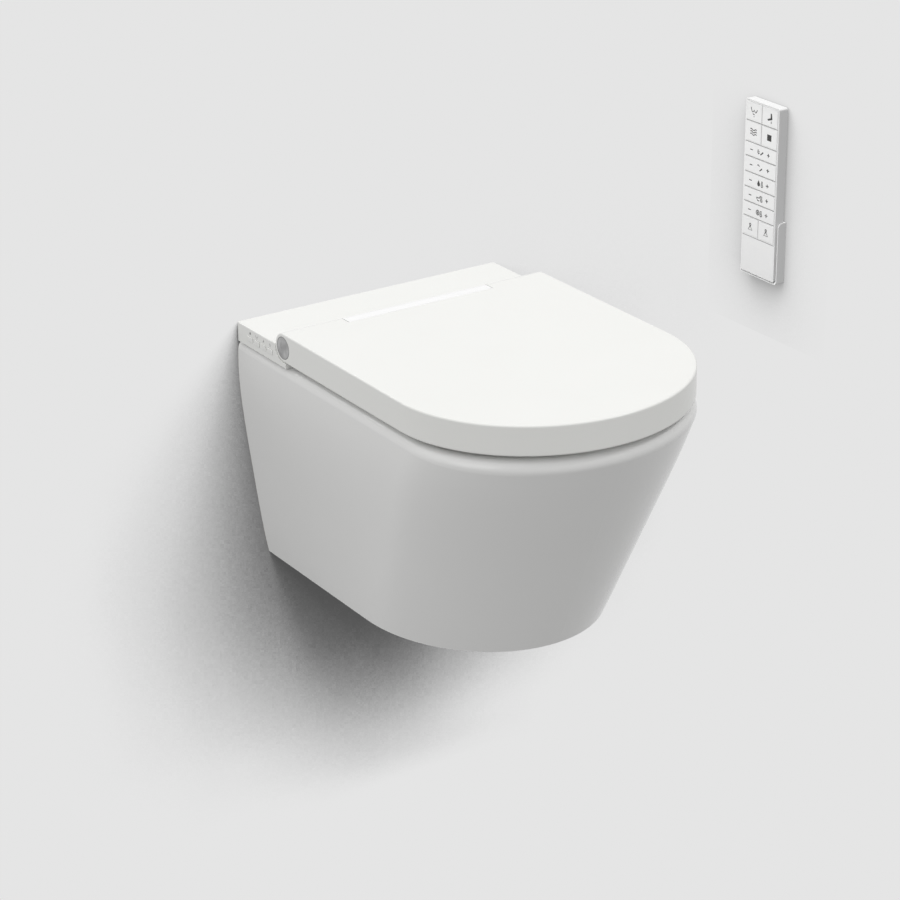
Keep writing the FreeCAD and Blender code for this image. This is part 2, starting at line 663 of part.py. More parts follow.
def lid_dampers():
    """Soft-close dampers, one in each end of the bridge."""
    body = rod(DAMPER_RADIUS, X_AXIS, BRIDGE_HALF - DAMPER_LENGTH, BRIDGE_HALF, AXIS)
    socket = rod(PIN_RADIUS + RUNNING, X_AXIS, BRIDGE_HALF - PIN_ROOT, BRIDGE_HALF + 1.0, AXIS)
    return both_sides(body.cut(socket))


def hinge_pins():
    pin = rod(PIN_RADIUS, X_AXIS, BRIDGE_HALF - PIN_ROOT, BRIDGE_HALF + PIN_REACH, AXIS)
    return both_sides(pin.makeChamfer(0.5, [pin.Edges[0]]))


# Lid

def barrel_wedge():
    """The part of the lid's barrel that is left open for the seat's arms."""
    stops = [radians(BARREL_END), radians((BARREL_END + 360.0) / 2.0), 2 * pi]
    x = -HALF + LID_WALL
    reach = 3.0 * BARREL
    corners = [V(x, AXIS_Y - reach * cos(a), AXIS_Z + reach * sin(a)) for a in stops]
    outline = [V(x, AXIS_Y, AXIS_Z)] + corners + [V(x, AXIS_Y, AXIS_Z)]
    return Part.Face(Part.makePolygon(outline)).extrude(V(-2.0 * x, 0, 0))


def lid_shell():
    plate = prism(d_wire(HALF, HINGE_SETBACK, DEPTH, LID_CURVE, LID_LOW), LID_HEIGHT)
    outer = fuse([plate, rod(BARREL, X_AXIS, -HALF, HALF, AXIS)])
    outer = rounded(outer, LID_EDGE, lambda b: b.XLength < HALF * 1.5)
    inner = HALF - LID_WALL
    cavity_wire = d_wire(inner, HINGE_SETBACK, DEPTH - LID_WALL, LID_CURVE - LID_WALL, LID_LOW - 1.0)
    hollows = [
        prism(cavity_wire, LID_CAVITY_TOP - LID_LOW + 1.0),
        rod(BARREL - LID_SKIN, X_AXIS, -inner, inner, AXIS),
        barrel_wedge(),
        rod(BRIDGE_NOSE + CUTOUT_GAP, X_AXIS, -LID_INNER, LID_INNER, AXIS),
    ]
    shell = cut(outer, hollows)
    arm_end = ARM_INNER + ARM_WIDTH + 1.0
    lugs = both_sides(rod(BARREL, X_AXIS, LID_INNER, LID_INNER + LUG, AXIS))
    lugs += both_sides(rod(BARREL - 1.0, X_AXIS, arm_end, arm_end + LUG, AXIS))
    holes = [rod(PIN_RADIUS + RUNNING, X_AXIS, -inner, inner, AXIS)]
    holes += both_sides(rod(CAP_RADIUS + RUNNING, X_AXIS, HALF - CAP_DEPTH, HALF + 1.0, AXIS))
    return cut(fuse([shell] + lugs), holes)


def hinge_caps():
    """Brushed metal discs let into the lid's ears."""
    return both_sides(rod(CAP_RADIUS, X_AXIS, HALF - CAP_DEPTH, HALF, AXIS))


def at_pads(low, high):
    """Round pads at all four places, between two heights."""
    pads = []
    for side, setback in PAD_PLACES:
        pads += both_sides(rod(PAD_RADIUS, Z_AXIS, low, high, V(HALF - side, setback - DEPTH, 0)))
    return pads


def lid_pads():
    return at_pads(SEAT_TOP + MOVING, LID_CAVITY_TOP)


# Seat

def seat_block(skin, low, high):
    """The seat's ring, or what fills it inside its skin, between two heights."""
    front = SEAT_FRONT - skin
    curve = LID_CURVE - LID_WALL - SEAT_INSET - skin
    rear = HINGE_SETBACK + (SEAT_REAR + skin if skin else 0.0)
    ring = prism(d_wire(SEAT_HALF - skin, rear, front, curve, low), high - low)
    hole_front = SEAT_FRONT - SEAT_RIM + skin
    hole_wire = egg_wire(SEAT_HOLE + skin, SEAT_HOLE_REAR - skin, SEAT_HOLE_MIDDLE, hole_front, low)
    return ring.cut(prism(hole_wire, high - low))


def clear_of_hinge(shape):
    return shape.cut(rod(SEAT_REAR, X_AXIS, -HALF, HALF, AXIS))


def seat_arm():
    """The arm and ring that carry the seat on its hinge pin."""
    end = ARM_INNER + ARM_WIDTH
    ring = rod(ARM_RING, X_AXIS, ARM_INNER, end, AXIS)
    reach = (AXIS_Y - SEAT_REAR - SEAT_SKIN / 2.0, AXIS_Y)
    bar = box((ARM_INNER, end), reach, (AXIS_Z - ARM_HEIGHT / 2.0, AXIS_Z + ARM_HEIGHT / 2.0))
    return fuse([ring, bar])


def seat_top():
    whole = seat_block(0.0, SEAT_SPLIT, SEAT_TOP)
    whole = rounded(whole, SEAT_ROUND, lambda b: b.ZMin > SEAT_TOP - 0.1 and b.YMin < AXIS_Y - 1.0)
    skin = clear_of_hinge(whole).cut(seat_block(SEAT_SKIN, SEAT_SPLIT, SEAT_TOP - SEAT_SKIN))
    return fuse([skin] + both_sides(seat_arm())).cut(rod(PIN_RADIUS + RUNNING, X_AXIS, -HALF, HALF, AXIS))


def seat_bottom():
    whole = seat_block(0.0, SEAT_LOW, SEAT_SPLIT)
    whole = rounded(whole, SEAT_LOW_ROUND, lambda b: b.ZMax < SEAT_LOW + 0.1 and b.YMin < AXIS_Y - 1.0)
    return clear_of_hinge(whole).cut(seat_block(SEAT_SKIN, SEAT_LOW + SEAT_SKIN, SEAT_SPLIT))


def seat_heater():
    """Heating foil glued under the seat's top."""
    top = SEAT_TOP - SEAT_SKIN
    return seat_block(SEAT_SKIN + LOOSE, top - HEATER_SHEET, top)


def seat_pads():
    return at_pads(RIM_HEIGHT + MOVING, SEAT_LOW)


# Spray nozzle

def motor_top():
    return -GEAR_WIDTH / 2.0 - LOOSE


def nozzle_guide():
    """The fixed tube that the nozzle slides in, open on the rack's side, with the motor's bracket."""
    tube = rod(GUIDE_RADIUS, Y_AXIS, GUIDE_START, NOZZLE_LENGTH)
    bore = rod(NOZZLE_RADIUS + NOZZLE_FIT, Y_AXIS, -1.0, NOZZLE_LENGTH + 1.0)
    half = GEAR_WIDTH / 2.0 + MOVING
    slot = box((0.0, FAR), (-1.0, NOZZLE_LENGTH + 1.0), (-half, half))
    boss = rod(HOSE_RADIUS + 1.0, Z_AXIS, NOZZLE_TIP_Z, guide_boss_top(), V(NOZZLE_SIDE, -HOSE_Y, 0))
    boss = boss.cut(along_nozzle(rod(NOZZLE_RADIUS + NOZZLE_FIT, Y_AXIS, -FAR, FAR)))
    lower = along_nozzle(box((-FAR, FAR), (-FAR, FAR), (-FAR, 0.0)))
    bracket_x = (NOZZLE_RADIUS + NOZZLE_FIT, PINION_X + MOTOR_RADIUS)
    bracket_y = (GEAR_PLACE - MOTOR_RADIUS, GEAR_PLACE + MOTOR_RADIUS)
    bracket = box(bracket_x, bracket_y, (motor_top(), motor_top() + BRACKET_SHEET))
    bracket = bracket.cut(rod(GEAR_SHAFT + MOVING, Z_AXIS, -FAR, FAR, V(PINION_X, GEAR_PLACE, 0)))
    return fuse([along_nozzle(cut(tube, [bore, slot]).fuse(bracket)), boss.cut(lower)])


def rack():
    """Straight teeth on the nozzle's side, in mesh with the pinion at rest."""
    pitch = pi * GEAR_MODULE
    flank = tan(radians(20.0))
    pitch_x = NOZZLE_RADIUS + RACK_BACK
    root = pitch_x - 1.25 * GEAR_MODULE
    tip = pitch_x + GEAR_MODULE
    half = GEAR_WIDTH / 2.0
    start = GEAR_PLACE - 2.5 * pitch
    count = int((NOZZLE_LENGTH - start) / pitch)
    shapes = [box((0.0, root), (start, NOZZLE_LENGTH), (-half, half))]
    low = pitch / 4.0 + 1.25 * GEAR_MODULE * flank - GEAR_BACKLASH / 2.0
    high = pitch / 4.0 - GEAR_MODULE * flank - GEAR_BACKLASH / 2.0
    for i in range(count):
        y = start + pitch * (i + 0.5)
        corners = [V(root, y - low, -half), V(tip, y - high, -half), V(tip, y + high, -half)]
        corners += [V(root, y + low, -half), V(root, y - low, -half)]
        shapes.append(Part.Face(Part.makePolygon(corners)).extrude(V(0, 0, GEAR_WIDTH)))
    return shapes


def nozzle_arm():
    bar = rod(NOZZLE_RADIUS, Y_AXIS, NOZZLE_HEAD, NOZZLE_LENGTH)
    water_way = rod(NOZZLE_RADIUS / 3.0, Y_AXIS, NOZZLE_HEAD, NOZZLE_LENGTH, V(-NOZZLE_RADIUS / 3.0, 0, 0))
    return along_nozzle(fuse([bar] + rack()).cut(water_way))


def nozzle_tip():
    """The head, with its rounded end and two rows of spray holes in its top."""
    body = rod(NOZZLE_RADIUS, Y_AXIS, NOZZLE_RADIUS, NOZZLE_HEAD)
    whole = fuse([body, Part.makeSphere(NOZZLE_RADIUS, V(0, NOZZLE_RADIUS, 0))])
    holes = [rod(0.6, Z_AXIS, 0.0, FAR, V(x, 10.0 + 4.0 * i, 0)) for i in range(3) for x in (-1.5, 1.5)]
    return along_nozzle(cut(whole, holes))


def pinion_tooth(radius, angle):
    """One straight-flanked tooth standing out of a hub, as a prism along Z."""
    pitch = pi * GEAR_MODULE
    root = radius - 1.25 * GEAR_MODULE
    tip = radius + GEAR_MODULE
    low = pitch / 4.0 + 0.30 * GEAR_MODULE - GEAR_BACKLASH / 2.0
    high = pitch / 4.0 - 0.42 * GEAR_MODULE - GEAR_BACKLASH / 2.0
    half = GEAR_WIDTH / 2.0
    corners = [V(root - 0.5, -low, -half), V(tip, -high, -half), V(tip, high, -half)]
    corners += [V(root - 0.5, low, -half), V(root - 0.5, -low, -half)]
    tooth = Part.Face(Part.makePolygon(corners)).extrude(V(0, 0, GEAR_WIDTH))
    tooth.rotate(ORIGIN, Z_AXIS, angle)
    return tooth


def nozzle_pinion():
    """The pinion that drives the rack, with a gap between teeth where a rack tooth lies."""
    radius = GEAR_MODULE * GEAR_TEETH / 2.0
    hub = rod(radius - 1.25 * GEAR_MODULE, Z_AXIS, -GEAR_WIDTH / 2.0, GEAR_WIDTH / 2.0)
    step = 360.0 / GEAR_TEETH
    teeth = [pinion_tooth(radius, 180.0 + step * (i + 0.5)) for i in range(GEAR_TEETH)]
    wheel = fuse([hub] + teeth).cut(rod(GEAR_SHAFT + RUNNING, Z_AXIS, -FAR, FAR))
    return along_nozzle(wheel.translated(V(PINION_X, GEAR_PLACE, 0)))


def nozzle_motor():
    """Step motor under the pinion, with its shaft."""
    top = motor_top()
    shapes = [rod(MOTOR_RADIUS, Z_AXIS, top - MOTOR_LENGTH, top), rod(GEAR_SHAFT, Z_AXIS, top, GEAR_WIDTH / 2.0)]
    return along_nozzle(fuse(shapes).translated(V(PINION_X, GEAR_PLACE, 0)))


# Water path

def water_inlet():
    """Threaded inlet through the rear of the right tub into the valve."""
    centre = V(INLET_X, 0, INLET_Z)
    tub_rear = -WELL_REAR - TUB_GAP
    spigot = rod(INLET_RADIUS, Y_AXIS, -VALVE_Y[0], tub_rear + INLET_REACH, centre)
    collar = rod(INLET_RADIUS + LOOSE, Y_AXIS, tub_rear, tub_rear + LOOSE, centre)
    return fuse([spigot, collar]).cut(rod(INLET_RADIUS - 2.6, Y_AXIS, -FAR, FAR, centre))


def solenoid_valve():
    low = INLET_Z - VALVE_HEIGHT / 2.0
    body = box(VALVE_X, (-VALVE_Y[1], -VALVE_Y[0]), (low, low + VALVE_HEIGHT))
    coil_x = VALVE_X[0] + PUMP_RADIUS
    coil = rod(PUMP_RADIUS - 1.0, Z_AXIS, low + VALVE_HEIGHT, RIM_HEIGHT - 1.0, V(coil_x, -sum(VALVE_Y) / 2.0, 0))
    link = rod(INLET_RADIUS / 2.0, Y_AXIS, -HEATER_Y[0], -VALVE_Y[1], V(INLET_X, 0, INLET_Z))
    return fuse([body, coil, link])


def water_heater():
    """Through-flow heater standing on the floor of the right tub."""
    block = box(HEATER_X, (-HEATER_Y[1], -HEATER_Y[0]), (TUB_FLOOR, TUB_FLOOR + HEATER_HEIGHT))
    return rounded(block, 3.0, lambda b: b.ZLength > HEATER_HEIGHT - 1.0)


def water_pump():
    """Small pump on top of the heater, under the unit's cover."""
    middle = sum(HEATER_X) / 2.0
    low = TUB_FLOOR + HEATER_HEIGHT
    y = (-HEATER_Y[0] - PUMP_LENGTH, -HEATER_Y[0])
    motor = rod(PUMP_RADIUS, Y_AXIS, y[0], y[1], V(middle, 0, low + PUMP_RADIUS))
    saddle = box((middle - PUMP_RADIUS, middle + PUMP_RADIUS), y, (low, low + PUMP_RADIUS))
    return fuse([motor, saddle])


def guide_boss_top():
    return RIM_HEIGHT + HOSE_END[0]


def water_hose():
    """From the pump's side over to the boss on the nozzle's guide."""
    start = sum(HEATER_X) / 2.0 - PUMP_RADIUS
    points = [V(start, -HOSE_Y, TUB_FLOOR + HEATER_HEIGHT + PUMP_RADIUS)]
    points += [V(x, -HOSE_Y, RIM_HEIGHT + rise) for x, rise in HOSE_TURNS]
    points += [V(NOZZLE_SIDE, -HOSE_Y, RIM_HEIGHT + rise) for rise in reversed(HOSE_END)]
    return pipe(points, HOSE_RADIUS)


# Dryer

def fan_place(shape):
    return shape.translated(V(-FAN_X, -FAN_Y, 0))


def dryer_housing():
    """Scroll round the fan wheel, with its outlet towards the basin."""
    low = TUB_FLOOR
    high = TUB_FLOOR + SCROLL_HEIGHT
    drum = fan_place(rod(SCROLL_RADIUS, Z_AXIS, low, high))
    room = fan_place(rod(SCROLL_RADIUS - SCROLL_WALL, Z_AXIS, low + SCROLL_WALL, high - SCROLL_WALL))
    front = BAY_FRONT - TUB_GAP - TUB_WALL - LOOSE
    outlet = duct_bar(0.0, front, FAN_Y)
    way = duct_bar(SCROLL_WALL, front + 1.0, FAN_Y)
    shaft = fan_place(rod(FAN_SHAFT + LOOSE, Z_AXIS, low + SCROLL_WALL, high + 1.0))
    return cut(fuse([drum, outlet]), [room, way, shaft])


def dryer_fan():
    """Drum fan with curved blades between a disc and a ring."""
    top = FAN_LOW + FAN_HEIGHT
    disc = rod(FAN_RADIUS, Z_AXIS, top - 1.5, top)
    hub = rod(FAN_SHAFT + 3.0, Z_AXIS, FAN_LOW + 3.0, top)
    ring = rod(FAN_RADIUS, Z_AXIS, FAN_LOW, FAN_LOW + 1.5).cut(rod(FAN_RADIUS - 7.0, Z_AXIS, 0.0, RIM_HEIGHT))
    blades = []
    for i in range(FAN_BLADES):
        blade = box((FAN_RADIUS - 7.5, FAN_RADIUS - 0.5), (-0.5, 0.5), (FAN_LOW, top))
        blade.rotate(V(FAN_RADIUS - 0.5, 0, 0), Z_AXIS, 30.0)
        blade.rotate(ORIGIN, Z_AXIS, 360.0 * i / FAN_BLADES)
        blades.append(blade)
    wheel = fuse([disc, hub, ring] + blades).cut(rod(FAN_SHAFT + RUNNING, Z_AXIS, 0.0, RIM_HEIGHT))
    return fan_place(wheel)


def dryer_motor():
    base = TUB_FLOOR + SCROLL_HEIGHT
    body = rod(FAN_MOTOR, Z_AXIS, base, base + FAN_MOTOR_HEIGHT)
    shaft = rod(FAN_SHAFT, Z_AXIS, FAN_LOW + 3.0, base)
    return fan_place(fuse([body, shaft]))


def dryer_duct():
    """The duct's last stretch, through the rear of the basin and trimmed to its curve."""
    rear = BAY_FRONT - TUB_GAP - TUB_WALL - LOOSE
    front = BASIN_PROFILE[0][3]
    return cut(duct_bar(0.0, front, rear), [duct_bar(SCROLL_WALL, front + 1.0, rear - 1.0), basin_loft(0.0)])


# Power and control

def power_gland():
    """Cable gland through the rear of the left tub."""
    centre = V(-GLAND_X, 0, GLAND_Z)
    tub_rear = -WELL_REAR - TUB_GAP
    barrel = rod(GLAND_RADIUS, Y_AXIS, tub_rear - TUB_WALL - LOOSE, tub_rear + GLAND_REACH, centre)
    collar = rod(GLAND_RADIUS + LOOSE, Y_AXIS, tub_rear, tub_rear + LOOSE, centre)
    return fuse([barrel, collar]).cut(rod(GLAND_BORE, Y_AXIS, -FAR, FAR, centre))


def circuit_board(x, blocks):
    """A board on four posts on the unit's base, with parts (x, y, width, depth, height) from its corner."""
    low = BASE_TOP + STANDOFF
    top = low + BOARD_SHEET
    rear = -BOARD_REAR
    front = -BOARD_REAR - BOARD_DEPTH
    shapes = [box(x, (front, rear), (low, top))]
    for post_x in (x[0] + 3.0, x[1] - 3.0):
        for post_y in (front + 3.0, rear - 3.0):
            shapes.append(rod(2.0, Z_AXIS, BASE_TOP, low, V(post_x, post_y, 0)))
    for left, near, width, depth, height in blocks:
        corner_x = x[0] + left
        corner_y = front + near
        shapes.append(box((corner_x, corner_x + width), (corner_y, corner_y + depth), (top, top + height)))
    return fuse(shapes)


def power_supply():
    """Board with a transformer, a heat sink and capacitors."""
    transformer = (10.0, 8.0, 26.0, 22.0, PART_HEIGHT)
    heat_sink = (46.0, 34.0, 44.0, 5.0, PART_HEIGHT)
    capacitors = [(46.0 + 16.0 * i, 10.0, 11.0, 11.0, PART_HEIGHT - 1.0) for i in range(3)]
    return circuit_board(SUPPLY_X, [transformer, heat_sink] + capacitors)


def control_board():
    """Board with its processor, relays and connectors."""
    processor = (34.0, 22.0, 14.0, 14.0, 1.6)
    relays = [(8.0 + 19.0 * i, 42.0, 15.0, 10.0, PART_HEIGHT - 2.0) for i in range(4)]
    connectors = [(8.0 + 15.0 * i, 3.0, 11.0, 6.0, 6.0) for i in range(5)]
    return circuit_board(CONTROL_X, [processor] + relays + connectors)


# Remote control

def remote_block(inset, x):
    """The remote's outline in its face, drawn in by inset, between two depths."""
    y = (REMOTE_SIDES[0] + inset, REMOTE_SIDES[1] - inset)
    block = box(x, y, (REMOTE_LOW + inset, REMOTE_TOP - inset))
    return rounded(block, REMOTE_CORNER - inset, lambda b: b.XLength > abs(x[1] - x[0]) - 0.01 and b.ZLength < 0.01)


def remote_cells():
    """Each key's name with its limits across and up the face."""
    cells = []
    left = REMOTE_SIDES[1] - KEY_MARGIN
    right = REMOTE_SIDES[0] + KEY_MARGIN
    share = 0.0
    for lower_share, names in REMOTE_ROWS:
        top = REMOTE_TOP - share * REMOTE_HEIGHT - (KEY_MARGIN if share == 0.0 else KEY_LINE / 2.0)
        low = REMOTE_TOP - lower_share * REMOTE_HEIGHT + KEY_LINE / 2.0
        middle = (left + right) / 2.0
        if len(names) == 1:
            cells.append((names[0], (right, left), (low, top)))
        else:
            cells.append((names[0], (middle + KEY_LINE / 2.0, left), (low, top)))
            cells.append((names[1], (right, middle - KEY_LINE / 2.0), (low, top)))
        share = lower_share
    return cells


def is_rocker(name):
    return any(names == [name] for share, names in REMOTE_ROWS)


def cell_bar(y, z, grow, x):
    return box(x, (y[0] - grow, y[1] + grow), (z[0] - grow, z[1] + grow))


def remote_front():
    shell = remote_block(0.0, (REMOTE_FACE, REMOTE_FACE + REMOTE_SPLIT))
    room = remote_block(REMOTE_WALL, (REMOTE_FACE + FACE_SHEET, REMOTE_FACE + REMOTE_SPLIT + 1.0))
    keyholes = []
    for name, y, z in remote_cells():
        keyholes.append(cell_bar(y, z, 0.0, (REMOTE_FACE - 1.0, REMOTE_FACE + FACE_SHEET + 1.0)))
    return cut(shell, [room] + keyholes)


def remote_key(name, y, z):
    """A push key with its flange, or a rocker with the rib that it tilts on."""
    back = REMOTE_FACE - CAP_PROUD + CAP_SHEET
    cap = cell_bar(y, z, -MOVING, (REMOTE_FACE - CAP_PROUD, back))
    cap = rounded(cap, 0.4, lambda b: b.XMax < REMOTE_FACE - CAP_PROUD + 0.1)
    board = REMOTE_FACE + KEY_BOARD_DEPTH
    if is_rocker(name):
        middle = (z[0] + z[1]) / 2.0
        reach = (z[1] - z[0]) / 4.0
        hub = board - MOVING - ROCKER_HUB
        rib = rod(ROCKER_HUB, Z_AXIS, middle - reach, middle + reach, V(hub, -REMOTE_Y, 0))
        web = box((back - 0.1, hub), (-REMOTE_Y - ROCKER_HUB, -REMOTE_Y + ROCKER_HUB), (middle - reach, middle + reach))
        return fuse([cap, rib, web])
    under = REMOTE_FACE + FACE_SHEET + MOVING
    flange = cell_bar(y, z, CAP_RIM, (under, under + CAP_FLANGE))
    neck = cell_bar(y, z, -MOVING, (back - 0.1, under + CAP_FLANGE))
    return fuse([cap, neck, flange])


def remote_board():
    """Circuit board behind the keys, with the clip of its coin cell."""
    face = REMOTE_FACE + KEY_BOARD_DEPTH
    board = remote_block(REMOTE_WALL + MOVING, (face, face + BOARD_SHEET))
    centre = V(0, -REMOTE_Y, REMOTE_LOW + CELL_RISE)
    back = face + BOARD_SHEET
    holder = rod(CELL_RADIUS + 1.0, X_AXIS, back, back + CELL_THICK * 0.6, centre)
    return fuse([board, holder]).cut(rod(CELL_RADIUS + RUNNING, X_AXIS, back, FAR, centre))


def remote_cell():
    back = REMOTE_FACE + KEY_BOARD_DEPTH + BOARD_SHEET
    return rod(CELL_RADIUS, X_AXIS, back, back + CELL_THICK, V(0, -REMOTE_Y, REMOTE_LOW + CELL_RISE))


def remote_back():
    shell = remote_block(0.0, (REMOTE_FACE + REMOTE_SPLIT, REMOTE_BACK))
    room = remote_block(REMOTE_WALL, (REMOTE_FACE + REMOTE_SPLIT - 1.0, REMOTE_BACK - REMOTE_WALL))
    centre = V(0, -REMOTE_Y, REMOTE_LOW + CELL_RISE)
    seat = rod(DOOR_RADIUS + RUNNING, X_AXIS, REMOTE_BACK - DOOR_THICK, REMOTE_BACK + 1.0, centre)
    way = rod(CELL_RADIUS + 1.0, X_AXIS, REMOTE_FACE, REMOTE_BACK, centre)
    return cut(shell, [room, seat, way])


def battery_door():
    """Round door with a coin slot, let into the remote's back."""
    centre = V(0, -REMOTE_Y, REMOTE_LOW + CELL_RISE)
    disc = rod(DOOR_RADIUS, X_AXIS, REMOTE_BACK - DOOR_THICK, REMOTE_BACK, centre)
    slot = box((REMOTE_BACK - 0.6, REMOTE_BACK + 1.0), (-REMOTE_Y - 7.0, -REMOTE_Y + 7.0),
               (centre.z - 0.9, centre.z + 0.9))
    return disc.cut(slot)


# Cradle

def cradle_screw_places():
    return [V(0, -REMOTE_Y, REMOTE_LOW + height) for height in CRADLE_SCREWS]


def remote_cradle():
    """Open-fronted pocket on the side wall that the remote drops into."""
    fit = MOVING + CRADLE_WALL
    y = (REMOTE_SIDES[0] - fit, REMOTE_SIDES[1] + fit)
    low = REMOTE_LOW - MOVING - CRADLE_FLOOR
    top = REMOTE_LOW + CRADLE_HEIGHT
    front = REMOTE_FACE + MOVING
    block = box((front - CRADLE_WALL, SIDE_WALL), y, (low, top))
    block = rounded(block, CRADLE_ROUND, lambda b: b.XMax < front and b.ZMin > top - 0.1 and b.YLength > 1.0)
    room_y = (REMOTE_SIDES[0] - MOVING, REMOTE_SIDES[1] + MOVING)
    room = box((front - MOVING * 2.0, REMOTE_BACK + MOVING), room_y, (REMOTE_LOW - MOVING, top + 1.0))
    open_front = box((front - CRADLE_WALL - 1.0, front + 1.0), (y[0] - 1.0, y[1] + 1.0), (REMOTE_LOW + CRADLE_LIP, top + 1.0))
    holes = []
    for centre in cradle_screw_places():
        holes.append(rod(CRADLE_SCREW + RUNNING, X_AXIS, REMOTE_BACK, SIDE_WALL + 1.0, centre))
    return cut(block, [room, open_front] + holes)


# Files

def save(name, shape):
    """Writes one named piece, or a group of like pieces, to its file."""
    if isinstance(shape, list):
        shape = Part.makeCompound(shape)
    shape.exportStep("parts/" + name + ".step")


def pieces():
    """Each file's name with its shape."""
    makers = [
        ceramic_pan, fixing_bushes, flush_seal, unit_base, unit_cover, deck_bolts, deck_nuts, key_board,
        hinge_bridge, bridge_screws, lid_dampers, hinge_pins, lid_shell, hinge_caps, lid_pads,
        seat_top, seat_bottom, seat_heater, seat_pads,
        nozzle_guide, nozzle_arm, nozzle_tip, nozzle_pinion, nozzle_motor,
        water_inlet, solenoid_valve, water_heater, water_pump, water_hose,
        dryer_housing, dryer_fan, dryer_motor, dryer_duct,
        power_gland, power_supply, control_board,
        remote_front, remote_back, remote_board, remote_cell, battery_door, remote_cradle,
    ]
    made = {maker.__name__: maker() for maker in makers}
    for i, name in enumerate(SIDE_KEYS):
        made["side_key_" + name] = side_key(i)
    for name, y, z in remote_cells():
        made["remote_key_" + name] = remote_key(name, y, z)
    return made


os.makedirs("parts", exist_ok=True)
for name, shape in pieces().items():
    save(name, shape)
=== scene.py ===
import math

import bmesh
import bpy
from mathutils import Matrix, Vector


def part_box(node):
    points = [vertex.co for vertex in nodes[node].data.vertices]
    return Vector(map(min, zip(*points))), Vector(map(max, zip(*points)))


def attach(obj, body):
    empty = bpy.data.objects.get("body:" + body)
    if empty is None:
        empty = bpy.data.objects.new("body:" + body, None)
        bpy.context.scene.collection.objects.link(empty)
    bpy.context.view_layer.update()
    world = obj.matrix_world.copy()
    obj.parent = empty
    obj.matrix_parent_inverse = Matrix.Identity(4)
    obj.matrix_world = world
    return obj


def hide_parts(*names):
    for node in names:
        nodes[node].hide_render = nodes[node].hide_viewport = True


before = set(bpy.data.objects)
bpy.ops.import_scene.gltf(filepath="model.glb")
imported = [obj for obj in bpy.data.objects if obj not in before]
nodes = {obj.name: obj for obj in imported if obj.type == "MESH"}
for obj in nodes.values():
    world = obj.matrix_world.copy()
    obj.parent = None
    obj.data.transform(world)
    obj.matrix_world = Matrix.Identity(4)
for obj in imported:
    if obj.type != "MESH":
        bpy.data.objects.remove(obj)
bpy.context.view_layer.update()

# The camera stands where the photograph was taken, above and to the left of the toilet.
# Its lens and shift give the photograph's framing in a square picture.
camera_data = bpy.data.cameras.new("camera")
camera_data.lens = 110.69
camera_data.sensor_width = 36.0
camera_data.shift_x = -0.0546
camera_data.shift_y = -0.0812
camera_data.clip_end = 50.0
camera = bpy.data.objects.new("camera", camera_data)
camera.location = (-1.72187, -2.78091, 1.30683)
aim = Vector((0.0, -0.290, 0.0835)) - camera.location
camera.rotation_euler = aim.to_track_quat("-Z", "Y").to_euler()
bpy.context.scene.collection.objects.link(camera)
bpy.context.scene.camera = camera
bpy.context.scene.view_settings.view_transform = "Standard"


# The finished wall that the toilet hangs on, a sheet of pale matt paint 8 m wide. It is seen from its room
# side only, and the toilet's soft shadow is painted shade on it, darker where the toilet keeps the light from
# overhead off it.
WALL_GREY = 0.783
WALL_REACH = 4.0
WALL_GAP = 0.0005
SHADE_SAMPLES = 16
WALL_LIGHT = (-0.166, -0.198, 0.966)
WALL_SHADE_REACH = 0.41
WALL_TONES = [
    (0.60, 0.08), (0.71, 0.145), (0.75, 0.25), (0.79, 0.42), (0.83, 0.565), (0.87, 0.69), (0.91, 0.765),
    (0.94, WALL_GREY),
]


class Wire:
    """A value in a node tree. Arithmetic on it adds the tree's Math nodes."""

    def __init__(self, tree, socket):
        self.tree = tree
        self.socket = socket

    def reckon(self, operation, first, second):
        return self.tree.node("ShaderNodeMath", {"operation": operation}, {0: first, 1: second})

    def __add__(self, other):
        return self.reckon("ADD", self, other)

    def __sub__(self, other):
        return self.reckon("SUBTRACT", self, other)

    def __rsub__(self, other):
        return self.reckon("SUBTRACT", other, self)

    def __mul__(self, other):
        return self.reckon("MULTIPLY", self, other)

    def __pow__(self, other):
        return self.reckon("POWER", self, other)

    def __gt__(self, other):
        return self.reckon("GREATER_THAN", self, other)

    def __lt__(self, other):
        return self.reckon("LESS_THAN", self, other)

    __radd__ = __add__
    __rmul__ = __mul__


class Tree:
    """A node tree, built node by node."""

    def __init__(self, node_tree):
        self.node_tree = node_tree
        self.node_tree.nodes.clear()

    def node(self, kind, settings, sockets, output=0):
        """Adds a node: its type, its settings, and the values or wires of its sockets. Gives one output."""
        made = self.node_tree.nodes.new(kind)
        for name, value in settings.items():
            if name == "stops":
                self.set_stops(made.color_ramp.elements, value)
            else:
                setattr(made, name, value)
        for name, value in sockets.items():
            for each in value if isinstance(value, list) else [value]:
                if isinstance(each, Wire):
                    self.node_tree.links.new(each.socket, made.inputs[name])
                else:
                    made.inputs[name].default_value = each
        return Wire(self, made.outputs[output]) if len(made.outputs) else made

    def set_stops(self, elements, stops):
        while len(elements) < len(stops):
            elements.new(0.5)
        for element, (place, level) in zip(elements, stops):
            element.position = place
            element.color = (level, level, level, 1.0)


